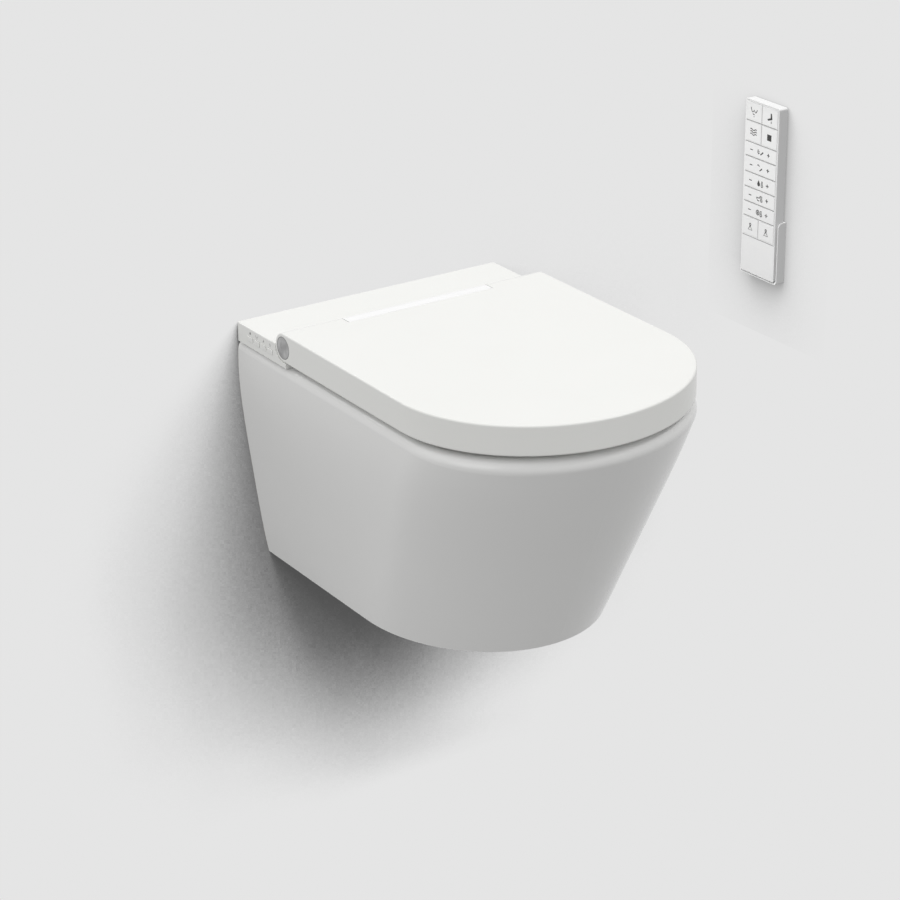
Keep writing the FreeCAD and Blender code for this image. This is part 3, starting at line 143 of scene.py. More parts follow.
class Finish(Tree):
    """A material or the world."""

    def __init__(self, owner):
        owner.use_nodes = True
        self.owner = owner
        super().__init__(owner.node_tree)

    def place(self):
        return self.node("ShaderNodeTexCoord", {}, {}, "Object")

    def axis(self, name):
        return self.node("ShaderNodeSeparateXYZ", {}, {0: self.place()}, name)

    def mix(self, factor, first, second):
        return self.node("ShaderNodeMix", {"data_type": "RGBA"}, {0: factor, 6: first, 7: second}, 2)

    def ramp(self, factor, stops):
        return self.node("ShaderNodeValToRGB", {"stops": stops}, {0: factor})

    def reckon_one(self, operation, value):
        return self.node("ShaderNodeMath", {"operation": operation}, {0: value})

    def noise(self, scale, detail=2.0):
        return self.node("ShaderNodeTexNoise", {}, {"Vector": self.place(), "Scale": scale, "Detail": detail})

    def bump(self, height, distance, strength=1.0):
        return self.node("ShaderNodeBump", {}, {"Height": height, "Distance": distance, "Strength": strength})

    def shader(self, sockets):
        return self.node("ShaderNodeBsdfPrincipled", {}, sockets)

    def seen_directly(self):
        """1 for rays from the camera, a mirror image or glass, and 0 for the rest."""
        kinds = ("Camera", "Glossy", "Transmission")
        rays = [self.node("ShaderNodeLightPath", {}, {}, f"Is {kind} Ray") for kind in kinds]
        return rays[0] + rays[1] + rays[2]

    def output(self, surface):
        is_world = isinstance(self.owner, bpy.types.World)
        kind = "ShaderNodeOutputWorld" if is_world else "ShaderNodeOutputMaterial"
        self.node(kind, {}, {"Surface": surface})
        return self.owner


def grey(level, warmth=0.0):
    """A grey in linear light, a little yellow where it is warm and a little blue where it isn't."""
    return (level * (1.0 + warmth), level, level * (1.0 - warmth), 1.0)


def shadow_paint(name, towards, reach, tones):
    """Paint for a stage wall: a plain grey, darker where the object hides it from one side."""
    finish = Finish(bpy.data.materials.new(name))
    from_side = finish.node("ShaderNodeCombineXYZ", {}, dict(enumerate(Vector(towards).normalized())))
    open_sky = {"Normal": from_side, "Distance": reach}
    openness = finish.node("ShaderNodeAmbientOcclusion", {"samples": SHADE_SAMPLES}, open_sky, "AO")
    paint = finish.node("ShaderNodeEmission", {}, {"Color": finish.ramp(openness, tones)})
    front = 1 - finish.node("ShaderNodeNewGeometry", {}, {}, "Backfacing")
    seen = finish.seen_directly() * front
    clear = finish.node("ShaderNodeBsdfTransparent", {}, {})
    return finish.output(finish.node("ShaderNodeMixShader", {}, {0: seen, 1: clear, 2: paint}))


def wall_sheet(name, corners, paint):
    mesh = bpy.data.meshes.new(name)
    mesh.from_pydata(corners, [], [(0, 1, 2, 3)])
    mesh.materials.append(paint)
    sheet = bpy.data.objects.new(name, mesh)
    sheet.visible_diffuse = False
    sheet.visible_shadow = False
    bpy.context.scene.collection.objects.link(sheet)


corner_sides = ((-1, -1), (1, -1), (1, 1), (-1, 1))
rear_corners = [(x * WALL_REACH, WALL_GAP, z * WALL_REACH) for x, z in corner_sides]
rear_paint = shadow_paint("rear_wall_paint", WALL_LIGHT, WALL_SHADE_REACH, WALL_TONES)
wall_sheet("rear_wall", rear_corners, rear_paint)


# The side wall behind the remote control's cradle. Only a patch of it is made, in the same grey, and the
# small soft shadow of the cradle and the remote control is painted shade on it.
SIDE_LIGHT = (-0.45, -0.25, 0.86)
SIDE_SHADE_REACH = 0.12
SIDE_MARGIN = 0.08
SIDE_TONES = [(0.30, 0.28), (0.60, 0.42), (0.85, 0.62), (0.97, WALL_GREY)]
cradle_low, cradle_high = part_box("remote_cradle")
remote_low, remote_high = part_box("remote_front")
side_x = cradle_high[0] + WALL_GAP
near, far = cradle_low[1] - SIDE_MARGIN, cradle_high[1] + SIDE_MARGIN
low, high = cradle_low[2] - SIDE_MARGIN, remote_high[2] + SIDE_MARGIN
side_corners = [(side_x, far, low), (side_x, near, low), (side_x, near, high), (side_x, far, high)]
side_paint = shadow_paint("side_wall_paint", SIDE_LIGHT, SIDE_SHADE_REACH, SIDE_TONES)
wall_sheet("side_wall", side_corners, side_paint)


# Soft studio light. The room is pale all round and brightest overhead. One broad lamp stands to the left, two
# smaller ones draw the bright lines along the edges, and a narrow one lights the remote control's face.
HORIZON = grey(0.33)
ZENITH = grey(1.24)
REMOTE_LAMP_PLACE = (-0.60, -0.35, 0.52)
REMOTE_LAMP_POWER = 9.0
REMOTE_LAMP_CONE = 17.0
REMOTE_LAMP_FADE = 0.3
REMOTE_LAMP_RADIUS = 0.05
LAMPS = [
    # name, strength, softness in degrees, and the way from the object towards it
    ("left_lamp", 0.37, 40.0, (-0.85, -0.35, 0.35)),
    ("front_edge_lamp", 0.36, 8.0, (0.53, -0.37, 0.76)),
    ("rear_edge_lamp", 0.22, 9.0, (-0.37, 0.76, 0.53)),
]


def hang_lamp(name, kind, strength, towards):
    """Makes a lamp that shines down a direction, given from the object towards the lamp."""
    data = bpy.data.lights.new(name, kind)
    data.energy = strength
    lamp = bpy.data.objects.new(name, data)
    lamp.rotation_euler = Vector(towards).to_track_quat("Z", "Y").to_euler()
    bpy.context.scene.collection.objects.link(lamp)
    return lamp


for name, strength, softness, towards in LAMPS:
    hang_lamp(name, "SUN", strength, towards).data.angle = math.radians(softness)
remote_middle = (Vector(remote_low) + Vector(remote_high)) / 2.0
from_remote = Vector(REMOTE_LAMP_PLACE) - remote_middle
remote_lamp = hang_lamp("remote_lamp", "SPOT", REMOTE_LAMP_POWER, from_remote)
remote_lamp.location = REMOTE_LAMP_PLACE
remote_lamp.data.spot_size = math.radians(REMOTE_LAMP_CONE)
remote_lamp.data.spot_blend = REMOTE_LAMP_FADE
remote_lamp.data.shadow_soft_size = REMOTE_LAMP_RADIUS

room = Finish(bpy.data.worlds.new("room"))
bpy.context.scene.world = room.owner
way = room.node("ShaderNodeTexCoord", {}, {}, "Generated")
upwards = room.node("ShaderNodeSeparateXYZ", {}, {0: way}, "Z")
overhead = room.node("ShaderNodeClamp", {}, {"Value": upwards})
glow = room.mix(overhead, HORIZON, ZENITH)
backdrop = room.mix(room.seen_directly(), glow, grey(WALL_GREY))
room.output(room.node("ShaderNodeBackground", {}, {"Color": backdrop, "Strength": 1.0}))


# The pan is slip-cast vitreous china, fired under a clear glaze that lies a little uneven, so its reflections
# swim. Its back, which bears on the wall, is ground flat and left unglazed. It hangs on two wall studs.
UNGLAZED_DEPTH = 0.0004
CHINA_WARM = (0.806, 0.804, 0.793, 1.0)
CHINA_PALE = (0.832, 0.832, 0.823, 1.0)
SPECK_BROWN = (0.52, 0.50, 0.46, 1.0)
SPECK_LIMIT = 0.74  # only the noise above it is a speck
GRIT_DARK = (0.60, 0.58, 0.53, 1.0)
GRIT_PALE = (0.72, 0.70, 0.65, 1.0)


def dress(material, *names):
    """Gives CAD nodes their finish."""
    for name in names:
        slots = nodes[name].data.materials
        slots.clear()
        slots.append(material)


def glazed_china():
    finish = Finish(bpy.data.materials.new("glazed_china"))
    glazed = finish.mix(finish.noise(6.0), CHINA_WARM, CHINA_PALE)
    specks = finish.noise(1400.0, 1.0) > SPECK_LIMIT
    glazed = finish.mix(specks * 0.10, glazed, SPECK_BROWN)
    bare = finish.axis("Y") > -UNGLAZED_DEPTH
    grit = finish.mix(finish.noise(800.0, 3.0), GRIT_DARK, GRIT_PALE)
    body = finish.mix(bare, glazed, grit)
    roughness = 0.045 + 0.03 * finish.noise(11.0) + 0.6 * bare
    swim = finish.bump(finish.noise(24.0, 1.0) + 0.4 * bare * finish.noise(900.0), 0.0006, 0.12)
    sockets = {"Base Color": body, "Roughness": roughness, "Normal": swim, "IOR": 1.52}
    return finish.output(finish.shader(sockets))


dress(glazed_china(), "ceramic_pan")


# Nylon bushes centre the wall studs in the china, and a moulded rubber sleeve joins the cistern's flush pipe.
# The mould leaves both a fine satin skin, and the rubber has a dull bloom.
def moulded(name, first, second, shine, grain=700.0, depth=0.00004, patches=14.0):
    """Plain moulded plastic or rubber: two near colours in soft patches, and a fine grain."""
    finish = Finish(bpy.data.materials.new(name))
    body = finish.mix(finish.noise(patches), first, second)
    roughness = shine + 0.08 * finish.noise(patches * 3.0)
    skin = finish.bump(finish.noise(grain, 1.0), depth, 0.25)
    return finish.output(finish.shader({"Base Color": body, "Roughness": roughness, "Normal": skin}))


nylon = moulded("nylon", grey(0.52), grey(0.60), 0.40)
black_rubber = moulded("black_rubber", grey(0.020), grey(0.034), 0.58, 1500.0)
dress(nylon, "fixing_bushes")
dress(black_rubber, "flush_seal")


# The washing unit sits behind the lid: a glossy white duroplast cover, with tight rear corners, over a grey
# base, whose two tubs hang into the china. Two steel bolts with flanged nuts clamp it to the pan's top.
CORNER = 0.010
TIGHT_CORNER = 0.0025
WELD = 0.000001  # points nearer than this become one
GLOSS_WHITE = ((0.846, 0.848, 0.822, 1.0), (0.866, 0.868, 0.845, 1.0))
duroplast = moulded("duroplast", *GLOSS_WHITE, 0.17, 900.0, 0.00003, 9.0)
unit_grey = moulded("unit_grey", grey(0.30), grey(0.35, -0.01), 0.42)


def turned_metal(name, first, second, shine, along, pitch, depth):
    """Turned or threaded metal: ridges of one pitch along an axis, and duller smears."""
    finish = Finish(bpy.data.materials.new(name))
    ridge = finish.reckon_one("SINE", finish.axis(along) * (2.0 * math.pi / pitch))
    smear = finish.noise(160.0, 3.0)
    body = finish.mix(smear, first, second)
    cut = finish.bump(ridge, depth, 0.6)
    sockets = {"Base Color": body, "Metallic": 1.0, "Roughness": shine + 0.18 * smear, "Normal": cut}
    return finish.output(finish.shader(sockets))


def square_reach(angle, radius, tight_radius):
    """How far a corner of the tight radius reaches from the centre of one with the wide radius."""
    across, back = math.cos(angle), math.sin(angle)
    inner = radius - tight_radius
    if min(across, back) * radius <= inner * max(across, back):
        return radius / max(across, back)
    slip = inner * (across - back)
    return inner * (across + back) + math.sqrt(tight_radius ** 2 - slip ** 2)


def tightened_cover(radius, tight_radius):
    """The cover's shape, with its two rear corners drawn out to the radius of the finished moulding."""
    shape = bmesh.new()
    shape.from_mesh(nodes["unit_cover"].data)
    bmesh.ops.remove_doubles(shape, verts=shape.verts, dist=WELD)
    half = max(vert.co.x for vert in shape.verts)
    rear = max(vert.co.y for vert in shape.verts)
    for vert in shape.verts:
        across, back = abs(vert.co.x) - (half - radius), vert.co.y - (rear - radius)
        if across > 0.0 and back > 0.0:
            stretch = square_reach(math.atan2(back, across), radius, tight_radius) / radius
            vert.co.x = math.copysign(half - radius + across * stretch, vert.co.x)
            vert.co.y = rear - radius + back * stretch
    mesh = bpy.data.meshes.new("cover_moulding")
    shape.to_mesh(mesh)
    return mesh


cover = bpy.data.objects.new("cover_moulding", tightened_cover(CORNER, TIGHT_CORNER))
cover.data.materials.append(duroplast)
bpy.context.scene.collection.objects.link(cover)
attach(cover, "pan")
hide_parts("unit_cover")
bolt_steel = turned_metal("bolt_steel", grey(0.50, 0.01), grey(0.62), 0.22, "Z", 0.001, 0.00012)
dress(duroplast, "unit_cover")
dress(unit_grey, "unit_base")
dress(bolt_steel, "deck_bolts", "deck_nuts", "bridge_screws")


# Four keys on the unit's side work it without the remote control. They are moulded in the cover's white,
# and a small symbol is printed on the cover above each one.
MM = 0.001
INK_THICKNESS = 0.05
SYMBOL_LINE = 0.42
SYMBOL_RISE = 7.8  # symbol's middle above the key's
SYMBOL_SCALE = 0.45
side_keys = ["rear_wash", "front_wash", "stop", "power"]
dress(duroplast, *["side_key_" + name for name in side_keys])


def ink(name, level):
    finish = Finish(bpy.data.materials.new(name))
    body = finish.mix(finish.noise(2500.0, 1.0), grey(level), grey(level * 1.35))
    sockets = {"Base Color": body, "Roughness": 0.42 + 0.2 * finish.noise(700.0)}
    return finish.output(finish.shader(sockets))


class Recipe(Tree):
    """A Geometry Nodes tree with named inputs."""

    def __init__(self, name, inputs):
        super().__init__(bpy.data.node_groups.new(name, "GeometryNodeTree"))
        face = self.node_tree.interface
        sockets = {}
        for label, kind in inputs:
            sockets[label] = face.new_socket(label, in_out="INPUT", socket_type="NodeSocket" + kind)
        face.new_socket("Made", in_out="OUTPUT", socket_type="NodeSocketGeometry")
        self.identifiers = {label: socket.identifier for label, socket in sockets.items()}
        given = self.node_tree.nodes.new("NodeGroupInput")
        self.given = {label: Wire(self, given.outputs[label]) for label in sockets}

    def finish(self, geometry, material):
        """Every recipe ends in real geometry with its material on it."""
        real = self.node("GeometryNodeRealizeInstances", {}, {0: geometry})
        coated = self.node("GeometryNodeSetMaterial", {}, {"Geometry": real, "Material": material})
        self.node("NodeGroupOutput", {}, {0: coated})

    def make(self, name, mesh, values):
        """Runs the recipe on a mesh and gives the result as a plain mesh object."""
        piece = bpy.data.objects.new(name, mesh)
        bpy.context.scene.collection.objects.link(piece)
        modifier = piece.modifiers.new("recipe", "NODES")
        modifier.node_group = self.node_tree
        for label, value in values.items():
            modifier[self.identifiers[label]] = value
        depsgraph = bpy.context.evaluated_depsgraph_get()
        plain = bpy.data.meshes.new_from_object(piece.evaluated_get(depsgraph))
        piece.modifiers.remove(modifier)
        piece.data = plain
        plain.name = name
        return piece


# Pad print, for all the marks and the painted shade lines: a loose edge of the artwork becomes a line, and a
# face an area
pad_print = Recipe("pad_print", [
    ("Artwork", "Geometry"), ("Line width", "Float"), ("Ink thickness", "Float"), ("Ink", "Material"),
])
given = pad_print.given
touching = pad_print.node("GeometryNodeInputMeshEdgeNeighbors", {}, {})
equal = {"data_type": "INT", "operation": "EQUAL"}
is_line = pad_print.node("FunctionNodeCompare", equal, {2: touching, 3: 0})
path = pad_print.node("GeometryNodeMeshToCurve", {}, {"Mesh": given["Artwork"], "Selection": is_line})
flat_path = pad_print.node("GeometryNodeSetCurveNormal", {"mode": "Z_UP"}, {"Curve": path})
section_sizes = {"Width": given["Line width"], "Height": given["Ink thickness"]}
section = pad_print.node("GeometryNodeCurvePrimitiveQuadrilateral", {}, section_sizes)
sweep = {"Curve": flat_path, "Profile Curve": section, "Fill Caps": True}
lines = pad_print.node("GeometryNodeCurveToMesh", {}, sweep)
loose = {"Geometry": given["Artwork"], "Selection": is_line}
areas = pad_print.node("GeometryNodeDeleteGeometry", {"domain": "EDGE"}, loose)
sunk = pad_print.node("ShaderNodeCombineXYZ", {}, {"Z": given["Ink thickness"] * -0.5})
low_face = pad_print.node("GeometryNodeSetPosition", {}, {"Geometry": areas, "Offset": sunk})
raised = pad_print.node("GeometryNodeExtrudeMesh", {}, {
    "Mesh": low_face, "Offset Scale": given["Ink thickness"], "Individual": False,
})
under_face = pad_print.node("GeometryNodeFlipFaces", {}, {"Mesh": low_face})
closed = pad_print.node("GeometryNodeJoinGeometry", {}, {0: [raised, under_face]})
block = pad_print.node("GeometryNodeMergeByDistance", {}, {"Geometry": closed, "Distance": WELD})
pad_print.finish(pad_print.node("GeometryNodeJoinGeometry", {}, {0: [lines, block]}), given["Ink"])


def artwork_mesh(name, lines, areas):
    """Lines and areas, as points across and up in millimetres, in one flat mesh that faces the reader."""
    points, edges, faces = [], [], []
    for line in lines:
        start = len(points)
        points += line
        edges += [(start + i, start + i + 1) for i in range(len(line) - 1)]
    for area in areas:
        twice_area = sum(a[0] * b[1] - b[0] * a[1] for a, b in zip(area, area[1:] + area[:1]))
        area = area if twice_area > 0.0 else area[::-1]
        faces.append(tuple(range(len(points), len(points) + len(area))))
        points += area
    mesh = bpy.data.meshes.new(name)
    mesh.from_pydata([(across * MM, up * MM, 0.0) for across, up in points], edges, faces)
    return mesh


def on_side_face(x, y, z):
    """Turns flat artwork to a face that looks along -X, at a middle point given in metres."""
    turn = Matrix(((0.0, 0.0, -1.0), (-1.0, 0.0, 0.0), (0.0, 1.0, 0.0)))
    return Matrix.Translation((x, y, z)) @ turn.to_4x4()


def printed(name, artwork, line_width, colour, place, body):
    values = {"Line width": line_width * MM, "Ink thickness": INK_THICKNESS * MM, "Ink": colour}
    piece = pad_print.make(name, artwork, values)
    piece.data.transform(place)
    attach(piece, body)


def arc(centre, radius, start, end, steps=10):
    """Points along an arc, in degrees anticlockwise from the right."""
    angles = [math.radians(start + (end - start) * i / steps) for i in range(steps + 1)]
    return [(centre[0] + radius * math.cos(a), centre[1] + radius * math.sin(a)) for a in angles]


def disc(centre, radius, steps=14):
    return arc(centre, radius, 0.0, 360.0, steps)[:-1]


def wave(left, right, level, height, turns, steps=20):
    """A level wavy line."""
    points = []
    for i in range(steps + 1):
        share = i / steps
        rise = height * math.sin(2.0 * math.pi * turns * share)
        points.append((left + (right - left) * share, level + rise))
    return points


def moved(points, across, up, scale=1.0):
    return [(across + scale * x, up + scale * y) for x, y in points]


# Symbols, each as its lines and its areas
SEATED = [(1.0, 5.6), (3.2, 5.6), (4.5, -1.2), (3.4, -2.2), (-3.6, -4.6), (-4.9, -2.8), (1.2, -0.2)]
SPRAY = [[(-2.2, -3.2), (-3.2, -5.6)], [(0.0, -3.4), (0.0, -6.0)], [(2.2, -3.2), (3.2, -5.6)]]
CHEEKS = arc((-3.0, 2.4), 3.2, 140.0, 320.0) + arc((3.0, 2.4), 3.2, 220.0, 400.0)
POWER = [arc((0.0, 0.0), 3.4, 120.0, 420.0, 16), [(0.0, 1.4), (0.0, 5.0)]]
side_symbols = {
    "rear_wash": ([], [disc((0.0, 0.0), 3.6)]),
    "front_wash": ([CHEEKS] + SPRAY, []),
    "stop": ([], [moved(SEATED, 0.0, 0.0, 0.8)]),
    "power": (POWER, []),
}
side_ink = ink("side_ink", 0.16)
cover_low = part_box("unit_cover")[0]
for name in side_keys:
    key_low, key_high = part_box("side_key_" + name)
    lines, areas = side_symbols[name]
    small = [[moved(shape, 0.0, 0.0, SYMBOL_SCALE) for shape in shapes] for shapes in (lines, areas)]
    middle = (key_low[1] + key_high[1]) / 2.0
    rise = (key_low[2] + key_high[2]) / 2.0 + SYMBOL_RISE * MM
    place = on_side_face(cover_low[0], middle, rise)
    printed("side_symbol_" + name, artwork_mesh(name, *small), SYMBOL_LINE, side_ink, place, "pan")


# The hinge: a bright white bridge screwed to the unit carries two dampers and the steel pins that the lid's
# barrel and the seat's arms turn on. A spun metal cap closes each end of the barrel.
CAP_RING_PITCH = 0.00055
CAP_SHADE_RIM = 0.0131  # radius where the painted shade of the cap's gap starts
bridge_white = moulded("bridge_white", grey(0.90, 0.002), grey(0.93), 0.20, 900.0, 0.00003)
pin_steel = turned_metal("pin_steel", grey(0.56), grey(0.66), 0.16, "X", 0.0012, 0.00003)
damper_grey = moulded("damper_grey", grey(0.16), grey(0.20), 0.36)


def spun_cap():
    """Faced metal: fine rings about the hinge's axis, darker and paler patches of painted reflection, and a
    rim of painted shade where it meets its gap.
    """
    finish = Finish(bpy.data.materials.new("spun_cap"))
    low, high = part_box("hinge_caps")
    across = finish.axis("Y") - (low[1] + high[1]) / 2.0
    up = finish.axis("Z") - (low[2] + high[2]) / 2.0
    radius = (across * across + up * up) ** 0.5
    rings = finish.reckon_one("SINE", radius * (2.0 * math.pi / CAP_RING_PITCH))
    by_radius = {"W": radius * 5200.0, "Detail": 3.0}
    scatter = finish.node("ShaderNodeTexNoise", {"noise_dimensions": "1D"}, by_radius)
    # painted reflection: darker and paler patches stand for the surroundings mirrored in the cap, and they
    # also vary its roughness
    wear_and_painted_reflection = finish.noise(130.0, 1.0)
    dark = finish.mix(scatter, grey(0.22), grey(0.34))
    pale = finish.mix(scatter, grey(0.58), grey(0.74))
    # painted shade: the cap's outer rim darkened where it meets its gap in the barrel
    edge = radius > CAP_SHADE_RIM
    body = finish.mix(edge * 0.7, finish.mix(wear_and_painted_reflection, dark, pale), grey(0.13))
    cut = finish.bump(rings + 1.5 * scatter, 0.00004, 0.8)
    sockets = {"Base Color": body, "Metallic": 1.0, "Roughness": 0.22 + 0.2 * wear_and_painted_reflection, "Normal": cut}
    return finish.output(finish.shader(sockets))


dress(bridge_white, "hinge_bridge")
dress(pin_steel, "hinge_pins")
dress(damper_grey, "lid_dampers")
dress(spun_cap(), "hinge_caps")


# The lid and the heated seat are pressed in the same white duroplast and close slowly. Grey rubber pads
# keep them off each other and off the china, and a foil heater lies under the seat's top.
HEATING_TRACK_PITCH = 0.009
HEATING_TRACK_SWAY = 0.0035
FILM_DARK = (0.52, 0.42, 0.26, 1.0)
FILM_PALE = (0.60, 0.50, 0.33, 1.0)
soft_grey = moulded("soft_grey", grey(0.42), grey(0.48), 0.55, 1200.0)


def heater_foil():
    """Foil with a printed meander of heating track between two films."""
    finish = Finish(bpy.data.materials.new("heater_foil"))
    sway = finish.reckon_one("SINE", finish.axis("X") * 520.0) * HEATING_TRACK_SWAY
    turn = (finish.axis("Y") + sway) * (2.0 * math.pi / HEATING_TRACK_PITCH)
    track = finish.reckon_one("SINE", turn) > 0.2
    dull = finish.noise(90.0, 3.0)
    film = finish.mix(dull, FILM_DARK, FILM_PALE)
    foil = finish.mix(dull, grey(0.55), grey(0.68))
    sockets = {
        "Base Color": finish.mix(track, film, foil), "Metallic": track, "Roughness": 0.28 + 0.2 * dull,
        "Normal": finish.bump(track, 0.00005, 0.5),
    }
    return finish.output(finish.shader(sockets))


dress(duroplast, "lid_shell", "seat_top", "seat_bottom")
dress(soft_grey, "lid_pads", "seat_pads")
dress(heater_foil(), "seat_heater")


# The spray nozzle: a polished steel tip on a white arm with a moulded rack, in a plastic guide. A cream
# plastic pinion on a small motor moves it in and out.
polished_steel = turned_metal("polished_steel", grey(0.60), grey(0.70), 0.08, "Y", 0.0009, 0.00001)
arm_white = moulded("arm_white", grey(0.70), grey(0.76), 0.30)
gear_cream = moulded("gear_cream", (0.72, 0.68, 0.56, 1.0), (0.78, 0.74, 0.62, 1.0), 0.34)
motor_can = turned_metal("motor_can", grey(0.46), grey(0.54), 0.26, "X", 0.0011, 0.00002)
dress(polished_steel, "nozzle_tip")
dress(arm_white, "nozzle_arm", "nozzle_guide")
dress(gear_cream, "nozzle_pinion")
dress(motor_can, "nozzle_motor", "dryer_motor")


# Water comes in through a threaded brass inlet and a valve to the instant heater and the pump, and on to the
# nozzle through a milky silicone hose.
THREAD_PITCH = 0.00181
THREAD_DEPTH = 0.0004
BRASS = ((0.62, 0.44, 0.20, 1.0), (0.72, 0.55, 0.28, 1.0))
inlet_brass = turned_metal("inlet_brass", *BRASS, 0.20, "Y", THREAD_PITCH, THREAD_DEPTH)
heater_black = moulded("heater_black", grey(0.045), grey(0.06), 0.40)
valve_grey = moulded("valve_grey", grey(0.24), grey(0.28), 0.38)
dress(inlet_brass, "water_inlet")
dress(valve_grey, "solenoid_valve", "water_pump")
dress(heater_black, "water_heater")


def silicone():
    """Milky silicone that lets a little light through."""
    finish = Finish(bpy.data.materials.new("silicone"))
    cloud = finish.noise(180.0)
    body = finish.mix(cloud, (0.60, 0.62, 0.63, 1.0), (0.70, 0.72, 0.72, 1.0))
    skin = finish.bump(finish.noise(1500.0), 0.00003, 0.3)
    sockets = {
        "Base Color": body, "Roughness": 0.30 + 0.1 * cloud, "Normal": skin,
        "Subsurface Weight": 0.3, "Subsurface Scale": 0.002,
    }
    return finish.output(finish.shader(sockets))


dress(silicone(), "water_hose")


# The warm air dryer: a black moulded fan with blades all round turns in a grey plastic spiral housing, and
# a duct of the same grey leads its air to the bowl.
dryer_grey = moulded("dryer_grey", grey(0.22), grey(0.26), 0.40)
fan_black = moulded("fan_black", grey(0.04), grey(0.055), 0.35)
dress(dryer_grey, "dryer_housing", "dryer_duct")
dress(fan_black, "dryer_fan")


# The black gland holds the mains lead's entry. The supply and the control board stand on the base, green
# laminate with its tracks under the lacquer, and what is soldered on them is black or grey.
TRACK_PITCH = 0.0032
TRACK_LIMIT = 0.86  # only the wave above it is a track
PART_GRAIN = 95.0
SUPPLY_LAMINATE = 0.0033  # the laminate's top above the supply's low side
KEY_LAMINATE = 0.00295  # the laminate's back from the key board's front
BOARD_DARK = (0.018, 0.085, 0.038, 1.0)
BOARD_PALE = (0.026, 0.115, 0.052, 1.0)
TRACK_GREEN = (0.045, 0.20, 0.09, 1.0)


def circuit_finish(name, board, normal, surface, grid):
    """Green laminate up to its surface along one axis, and moulded parts past it."""
    finish = Finish(bpy.data.materials.new(name))
    spread = finish.noise(140.0)
    laminate = finish.mix(spread, BOARD_DARK, BOARD_PALE)
    turns = [finish.axis(axis) * (2.0 * math.pi / TRACK_PITCH) for axis in grid]
    lines = [finish.reckon_one("SINE", turn) > TRACK_LIMIT for turn in turns]
    cells = {"Vector": finish.place(), "Scale": PART_GRAIN}
    block = finish.node("ShaderNodeTexVoronoi", {}, cells, "Color")
    choice = finish.node("ShaderNodeSeparateColor", {}, {0: block}, 0)
    track = lines[0] * (choice > 0.5) + lines[1] * (choice < 0.5)
    laminate = finish.mix(track, laminate, TRACK_GREEN)
    is_part = (finish.axis(normal) - surface) * board > 0.0
    part = finish.mix(choice > 0.6, grey(0.028), grey(0.22))
    sockets = {
        "Base Color": finish.mix(is_part, laminate, part), "Roughness": 0.30 + 0.2 * spread,
        "Normal": finish.bump(track + 0.3 * spread, 0.00006, 0.6),
    }
    return finish.output(finish.shader(sockets))


black_gland = moulded("black_gland", grey(0.020), grey(0.030), 0.42)
supply_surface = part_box("power_supply")[0][2] + SUPPLY_LAMINATE
unit_board = circuit_finish("unit_board", 1.0, "Z", supply_surface, "XY")
key_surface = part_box("key_board")[0][0] + KEY_LAMINATE
side_board = circuit_finish("side_board", -1.0, "X", key_surface, "YZ")
dress(black_gland, "power_gland")
dress(unit_board, "control_board", "power_supply")
dress(side_board, "key_board")


# The remote control: two satin white shells that clip together, with a membrane board, a coin cell and its
# turned door in the back. Painted shade makes the flanks grey, and thin grey lines of painted shade are drawn
# between the keys.
SATIN_WHITE = (grey(0.865), grey(0.885))
# the grey of the painted shade on the flanks
FLANK_SHADE = (grey(0.62), grey(0.66))
FLANK_SKIN = 0.0004
ROW_SHADE_LINE = 0.78
DIVIDER_SHADE_LINE = 0.42
TOP_MARGIN = 0.9  # the top painted shade line above the first keys
MARGIN = 1.0  # the other painted shade lines from the keys beside them
face_x = remote_low[0]
face_middle = (remote_low[1] + remote_high[1]) / 2.0
face_level = (remote_low[2] + remote_high[2]) / 2.0
remote_white = moulded("remote_white", *SATIN_WHITE, 0.40, 1600.0, 0.00003, 20.0)


def shade_flanked(name, half_width):
    """Satin white, with a grey of painted shade on the two flanks that far from the face's middle."""
    finish = Finish(bpy.data.materials.new(name))
    patch = finish.noise(20.0)
    off_middle = finish.reckon_one("ABSOLUTE", finish.axis("Y") - face_middle)
    # painted shade: the two flanks are coloured grey to stand for the shade on them
    flank = off_middle > half_width - FLANK_SKIN
    body = finish.mix(flank, finish.mix(patch, *SATIN_WHITE), finish.mix(patch, *FLANK_SHADE))
    skin = finish.bump(finish.noise(1600.0, 1.0), 0.00003, 0.25)
    sockets = {"Base Color": body, "Roughness": 0.40 + 0.08 * patch, "Normal": skin}
    return finish.output(finish.shader(sockets))


door_grey = moulded("door_grey", grey(0.60), grey(0.64), 0.42, 1600.0, 0.00003, 20.0)
cell_steel = turned_metal("cell_steel", grey(0.58), grey(0.66), 0.24, "Z", 0.0007, 0.000008)
board_face_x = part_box("remote_cell")[0][0]
remote_circuit = circuit_finish("remote_circuit", 1.0, "X", board_face_x, "YZ")
# the shells' flanks get painted shade
remote_shells = shade_flanked("remote_shells", (remote_high[1] - remote_low[1]) / 2.0)
dress(remote_shells, "remote_front", "remote_back")
dress(door_grey, "battery_door")
dress(remote_circuit, "remote_board")
dress(cell_steel, "remote_cell")

remote_rows = [
    ["rear_wash", "front_wash"], ["dryer", "stop"], ["pressure"], ["position"], ["water_heat"], ["seat_heat"],
    ["air_heat"], ["user_one", "user_two"],
]


def key_limits(name):
    """A key's limits on the face, across and up from the face's middle, in millimetres."""
    low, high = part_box("remote_key_" + name)
    across = ((face_middle - high[1]) / MM, (face_middle - low[1]) / MM)
    up = ((low[2] - face_level) / MM, (high[2] - face_level) / MM)
    return across, up
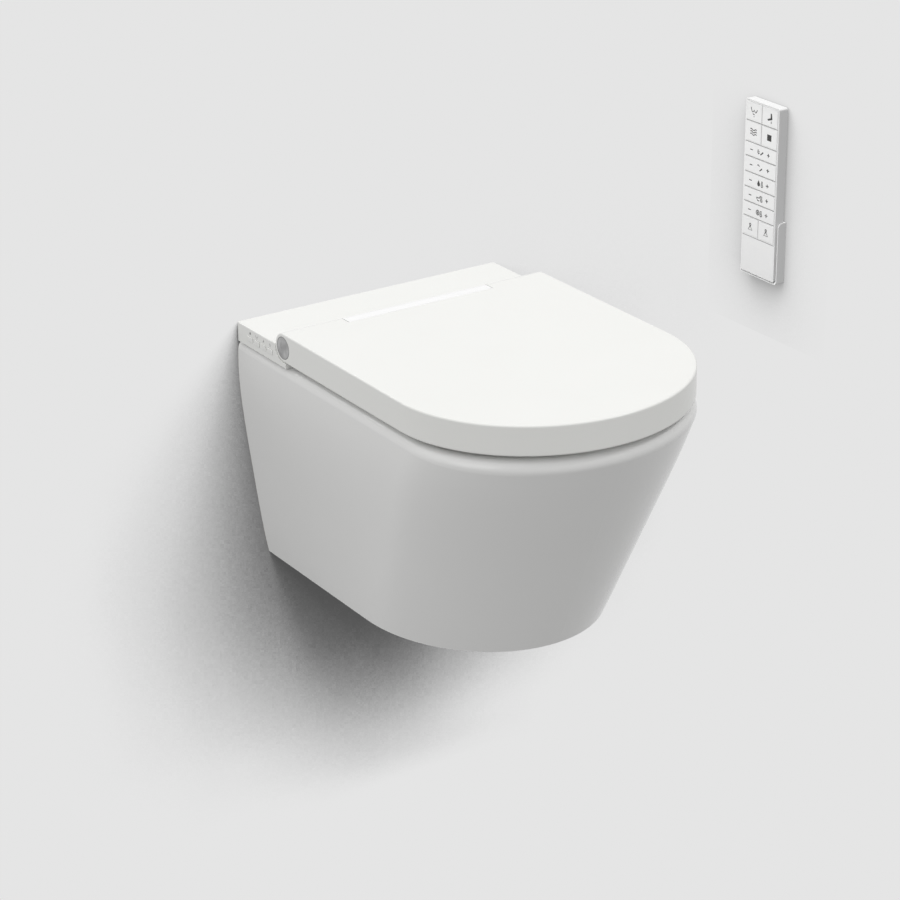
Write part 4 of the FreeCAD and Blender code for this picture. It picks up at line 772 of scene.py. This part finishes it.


# Thin grey lines of painted shade, drawn with the print recipe where the gaps between and around the keys
# lie.
row_shade_lines, divider_shade_lines = [], []
for row, next_row in zip(remote_rows, remote_rows[1:] + [None]):
    left, right = key_limits(row[0])[0][0], key_limits(row[-1])[0][1]
    low, high = key_limits(row[0])[1]
    level = (low + key_limits(next_row[0])[1][1]) / 2.0 if next_row else low - MARGIN
    row_shade_lines.append([(left, level), (right, level)])
    if len(row) == 2:
        divider_shade_lines.append([(0.0, low), (0.0, high)])
top = key_limits(remote_rows[0][0])[1][1] + TOP_MARGIN
divider_shade_lines += [[(left, top), (right, top)], [(right + MARGIN, level), (right + MARGIN, top)]]
grid_place = on_side_face(face_x, face_middle, face_level)
row_shade_artwork = artwork_mesh("row_shade_lines", row_shade_lines, [])
divider_shade_artwork = artwork_mesh("divider_shade_lines", divider_shade_lines, [])
printed("remote_row_shade_lines", row_shade_artwork, ROW_SHADE_LINE, ink("row_shade_ink", 0.22), grid_place, "remote")
printed("remote_divider_shade_lines", divider_shade_artwork, DIVIDER_SHADE_LINE, ink("divider_shade_ink", 0.42), grid_place, "remote")


# The remote's keys are single caps in the same satin white, the rockers with a minus at one end and a plus at
# the other. Their symbols are printed in near black, drawn here as the photograph shows them.
KEY_LINE_WIDTH = 1.2
MINUS_PLACE = -17.5
PLUS_PLACE = 14.5
SIGN_REACH = 2.5
key_ink = ink("key_ink", 0.030)
BLOCK = [(-4.0, -4.0), (4.0, -4.0), (4.0, 4.0), (-4.0, 4.0)]
DROP = [(0.0, 4.2)] + arc((0.0, -0.8), 2.4, 25.0, -205.0, 12)
SEAT_SIDE = [[(-4.2, 0.6), (2.4, 0.6)], [(2.6, 0.8), (4.2, 4.4)], [(-3.4, 0.0), (-1.6, -3.4), (2.2, -3.4)]]
HEAD = arc((0.0, 3.2), 1.7, 0.0, 360.0, 14)
BODY = [(0.0, 1.2), (-4.4, -4.8), (4.4, -4.8), (0.0, 1.2)]
PERSON = [moved(line, 0.0, 0.0, 0.85) for line in (HEAD, BODY)]
THERMOMETER = [arc((4.4, -2.4), 1.5, 125.0, 415.0, 12) + [(5.3, 3.0), (3.5, 3.0), (3.5, -1.2)]]
LEVER = [(-1.0, -2.4), (0.0, -3.4), (5.2, 0.6), (4.2, 2.2)]
JETS = [[(-6.2, 1.6), (-3.6, 2.8)], [(-6.4, -0.6), (-2.4, 1.0)], [(-5.2, -2.4), (-2.2, -1.0)]]
WAVES = [wave(-6.0, 6.0, level, 0.9, 1.5) for level in (-3.0, 0.0, 3.0)]
FAN = [arc((-1.6, 0.0), 2.9, 0.0, 360.0, 16), arc((-1.6, 0.0), 1.0, 0.0, 360.0, 10)]
HIPS = [
    (-6.0, 5.2), (-4.6, 1.0), (-2.8, -0.8), (-1.2, 0.4), (0.0, 2.2), (1.4, 0.4), (3.2, -0.6), (5.0, 1.4),
    (5.8, 3.8),
]
JET = [[(-2.6, -2.6), (-0.2, -3.6)], [(0.0, -2.6), (0.4, -3.8)], [(0.0, -5.4), (0.0, -6.6)]]
SMALL_JETS = [[(-5.6, 2.4), (-3.4, 3.4)], [(-3.4, 3.4), (-1.6, 1.4)]]
minus = [(MINUS_PLACE - SIGN_REACH, 0.0), (MINUS_PLACE + SIGN_REACH, 0.0)]
plus_across = [(PLUS_PLACE - SIGN_REACH, 0.0), (PLUS_PLACE + SIGN_REACH, 0.0)]
plus_up = [(PLUS_PLACE, -SIGN_REACH), (PLUS_PLACE, SIGN_REACH)]
key_symbols = {
    "rear_wash": ([HIPS] + JET, []),
    "front_wash": ([[(2.6, -4.2), (2.6, -7.0)]], [SEATED]),
    "dryer": (WAVES, []),
    "stop": ([], [BLOCK]),
    "pressure": (JETS, [LEVER]),
    "position": (SMALL_JETS, [moved(LEVER, -0.6, -1.6, 0.9)]),
    "water_heat": (THERMOMETER, [moved(DROP, -1.8, -0.6, 1.1)]),
    "seat_heat": ([moved(line, -1.4, -0.4, 0.9) for line in SEAT_SIDE] + THERMOMETER, []),
    "air_heat": (FAN + THERMOMETER, []),
    "user_one": (PERSON, []),
    "user_two": (PERSON, []),
}
for row in remote_rows:
    for name in row:
        lines, areas = key_symbols[name]
        if len(row) == 1:
            lines = lines + [minus, plus_across, plus_up]
        key_low, key_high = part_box("remote_key_" + name)
        dress(remote_white, "remote_key_" + name)
        middle, level = (key_low[1] + key_high[1]) / 2.0, (key_low[2] + key_high[2]) / 2.0
        place = on_side_face(key_low[0], middle, level)
        artwork = artwork_mesh(name, lines, areas)
        printed("key_mark_" + name, artwork, KEY_LINE_WIDTH, key_ink, place, "remote_key_" + name)


# The cradle is a moulded tray, screwed to the side wall through its back. It is open in front, so the remote
# drops in from above and stands a little proud of the tray's edges, with a shadow gap under it.
TRAY_LIP = (1.9, 1.0)  # side and floor at the front edges, in millimetres
TRAY_WALL = (2.0, 2.5)  # side and floor behind the shadow gap
TRAY_FRONTS = (3.2, 0.4)  # sides' and floor's front edges behind the remote's face
TRAY_TOE = 3.0  # height over which the sides reach forward to the floor's edge
TRAY_STEP = 10.2  # end of the shadow gap behind the remote's face
TRAY_BACK = 2.5
TRAY_DROP = 4.0  # the top edge below the cradle's full height
TRAY_SHOULDER = (6.0, 8)  # rounding of the sides' top front corners, and its steps
TRAY_FOOT = (1.8, 4)  # rounding of the two low front-to-back edges, and its steps
EDGE_ROUNDING = 0.15
EDGE_ANGLE = 40.0  # only edges sharper than this are rounded
SCREW_RISES = (0.0228, 0.0628)
SCREW_HEAD = [(0.0, 0.25), (1.6, 0.24), (2.6, 0.16), (3.0, 0.0)]  # out from the middle, and up
SCREW_STEPS = 24


def tray_outline(inset, depths):
    """The tray's section: down one side, along the floor and up the other, at the two depths."""
    side, floor = inset
    side_x, floor_x = depths
    left, right = cradle_low[1] + side * MM, cradle_high[1] - side * MM
    low, top = cradle_low[2] + floor * MM, cradle_high[2] - TRAY_DROP * MM
    toe = low + TRAY_TOE * MM
    return [
        (side_x, left, top), (side_x, left, toe), (floor_x, left, low),
        (floor_x, right, low), (side_x, right, toe), (side_x, right, top),
    ]


def tray_mesh():
    front = tuple(face_x + depth * MM for depth in TRAY_FRONTS)
    back = (cradle_high[0],) * 2
    step = (face_x + TRAY_STEP * MM,) * 2
    seat = (cradle_high[0] - TRAY_BACK * MM,) * 2
    sections = [
        ((0.0, 0.0), back), ((0.0, 0.0), front), (TRAY_LIP, front),
        (TRAY_LIP, step), (TRAY_WALL, step), (TRAY_WALL, seat),
    ]
    shape = bmesh.new()
    rings = [[shape.verts.new(point) for point in tray_outline(*section)] for section in sections]
    for ring, next_ring in zip(rings, rings[1:]):
        for i in range(len(ring) - 1):
            shape.faces.new((ring[i], ring[i + 1], next_ring[i + 1], next_ring[i]))
    top_edge = [ring[0] for ring in rings] + [ring[-1] for ring in reversed(rings)]
    for outline in (rings[0], rings[-1], top_edge):
        shape.faces.new(outline)
    shoulders = [(rings[1][i], rings[2][i]) for i in (0, -1)]
    feet = [(rings[0][i], rings[1][i]) for i in (2, 3)]
    for (size, steps), pairs in ((TRAY_SHOULDER, shoulders), (TRAY_FOOT, feet)):
        edges = [shape.edges.get(pair) for pair in pairs]
        bmesh.ops.bevel(shape, geom=edges, offset=size * MM, segments=steps, profile=0.5, affect="EDGES")
    bmesh.ops.recalc_face_normals(shape, faces=shape.faces)
    mesh = bpy.data.meshes.new("cradle_tray")
    shape.to_mesh(mesh)
    return mesh


def screw_heads():
    """Low domed heads, turned about the X axis, on the tray's back."""
    shape = bmesh.new()
    seat = cradle_high[0] - TRAY_BACK * MM
    for rise in SCREW_RISES:
        level = cradle_low[2] + rise
        points = [(seat - high * MM, face_middle, level + out * MM) for out, high in SCREW_HEAD]
        profile = [shape.verts.new(point) for point in points]
        edges = [shape.edges.new(pair) for pair in zip(profile, profile[1:])]
        turn = {"axis": (1.0, 0.0, 0.0), "angle": 2.0 * math.pi, "steps": SCREW_STEPS}
        bmesh.ops.spin(shape, geom=profile + edges, cent=(seat, face_middle, level), **turn)
    bmesh.ops.remove_doubles(shape, verts=shape.verts, dist=WELD)
    rims = [edge for edge in shape.edges if edge.is_boundary]
    bmesh.ops.holes_fill(shape, edges=rims)
    bmesh.ops.recalc_face_normals(shape, faces=shape.faces)
    mesh = bpy.data.meshes.new("cradle_screws")
    shape.to_mesh(mesh)
    return mesh


# the tray's white, with painted shade greying its two flanks
cradle_white = shade_flanked("cradle_white", (cradle_high[1] - cradle_low[1]) / 2.0)
screw_steel = turned_metal("screw_steel", grey(0.50), grey(0.60), 0.25, "Z", 0.0011, 0.00002)
cradle_parts = [
    ("cradle_tray", tray_mesh(), cradle_white),
    ("cradle_screws", screw_heads(), screw_steel),
]
for name, mesh, finish in cradle_parts:
    mesh.materials.append(finish)
    piece = bpy.data.objects.new(name, mesh)
    bpy.context.scene.collection.objects.link(piece)
    if name == "cradle_tray":
        edge_rounding = piece.modifiers.new("edge_rounding", "BEVEL")
        edge_rounding.width = EDGE_ROUNDING * MM
        edge_rounding.segments = 2
        edge_rounding.limit_method = "ANGLE"
        edge_rounding.angle_limit = math.radians(EDGE_ANGLE)
        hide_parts("remote_cradle")
    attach(piece, "pan")
dress(cradle_white, "remote_cradle")
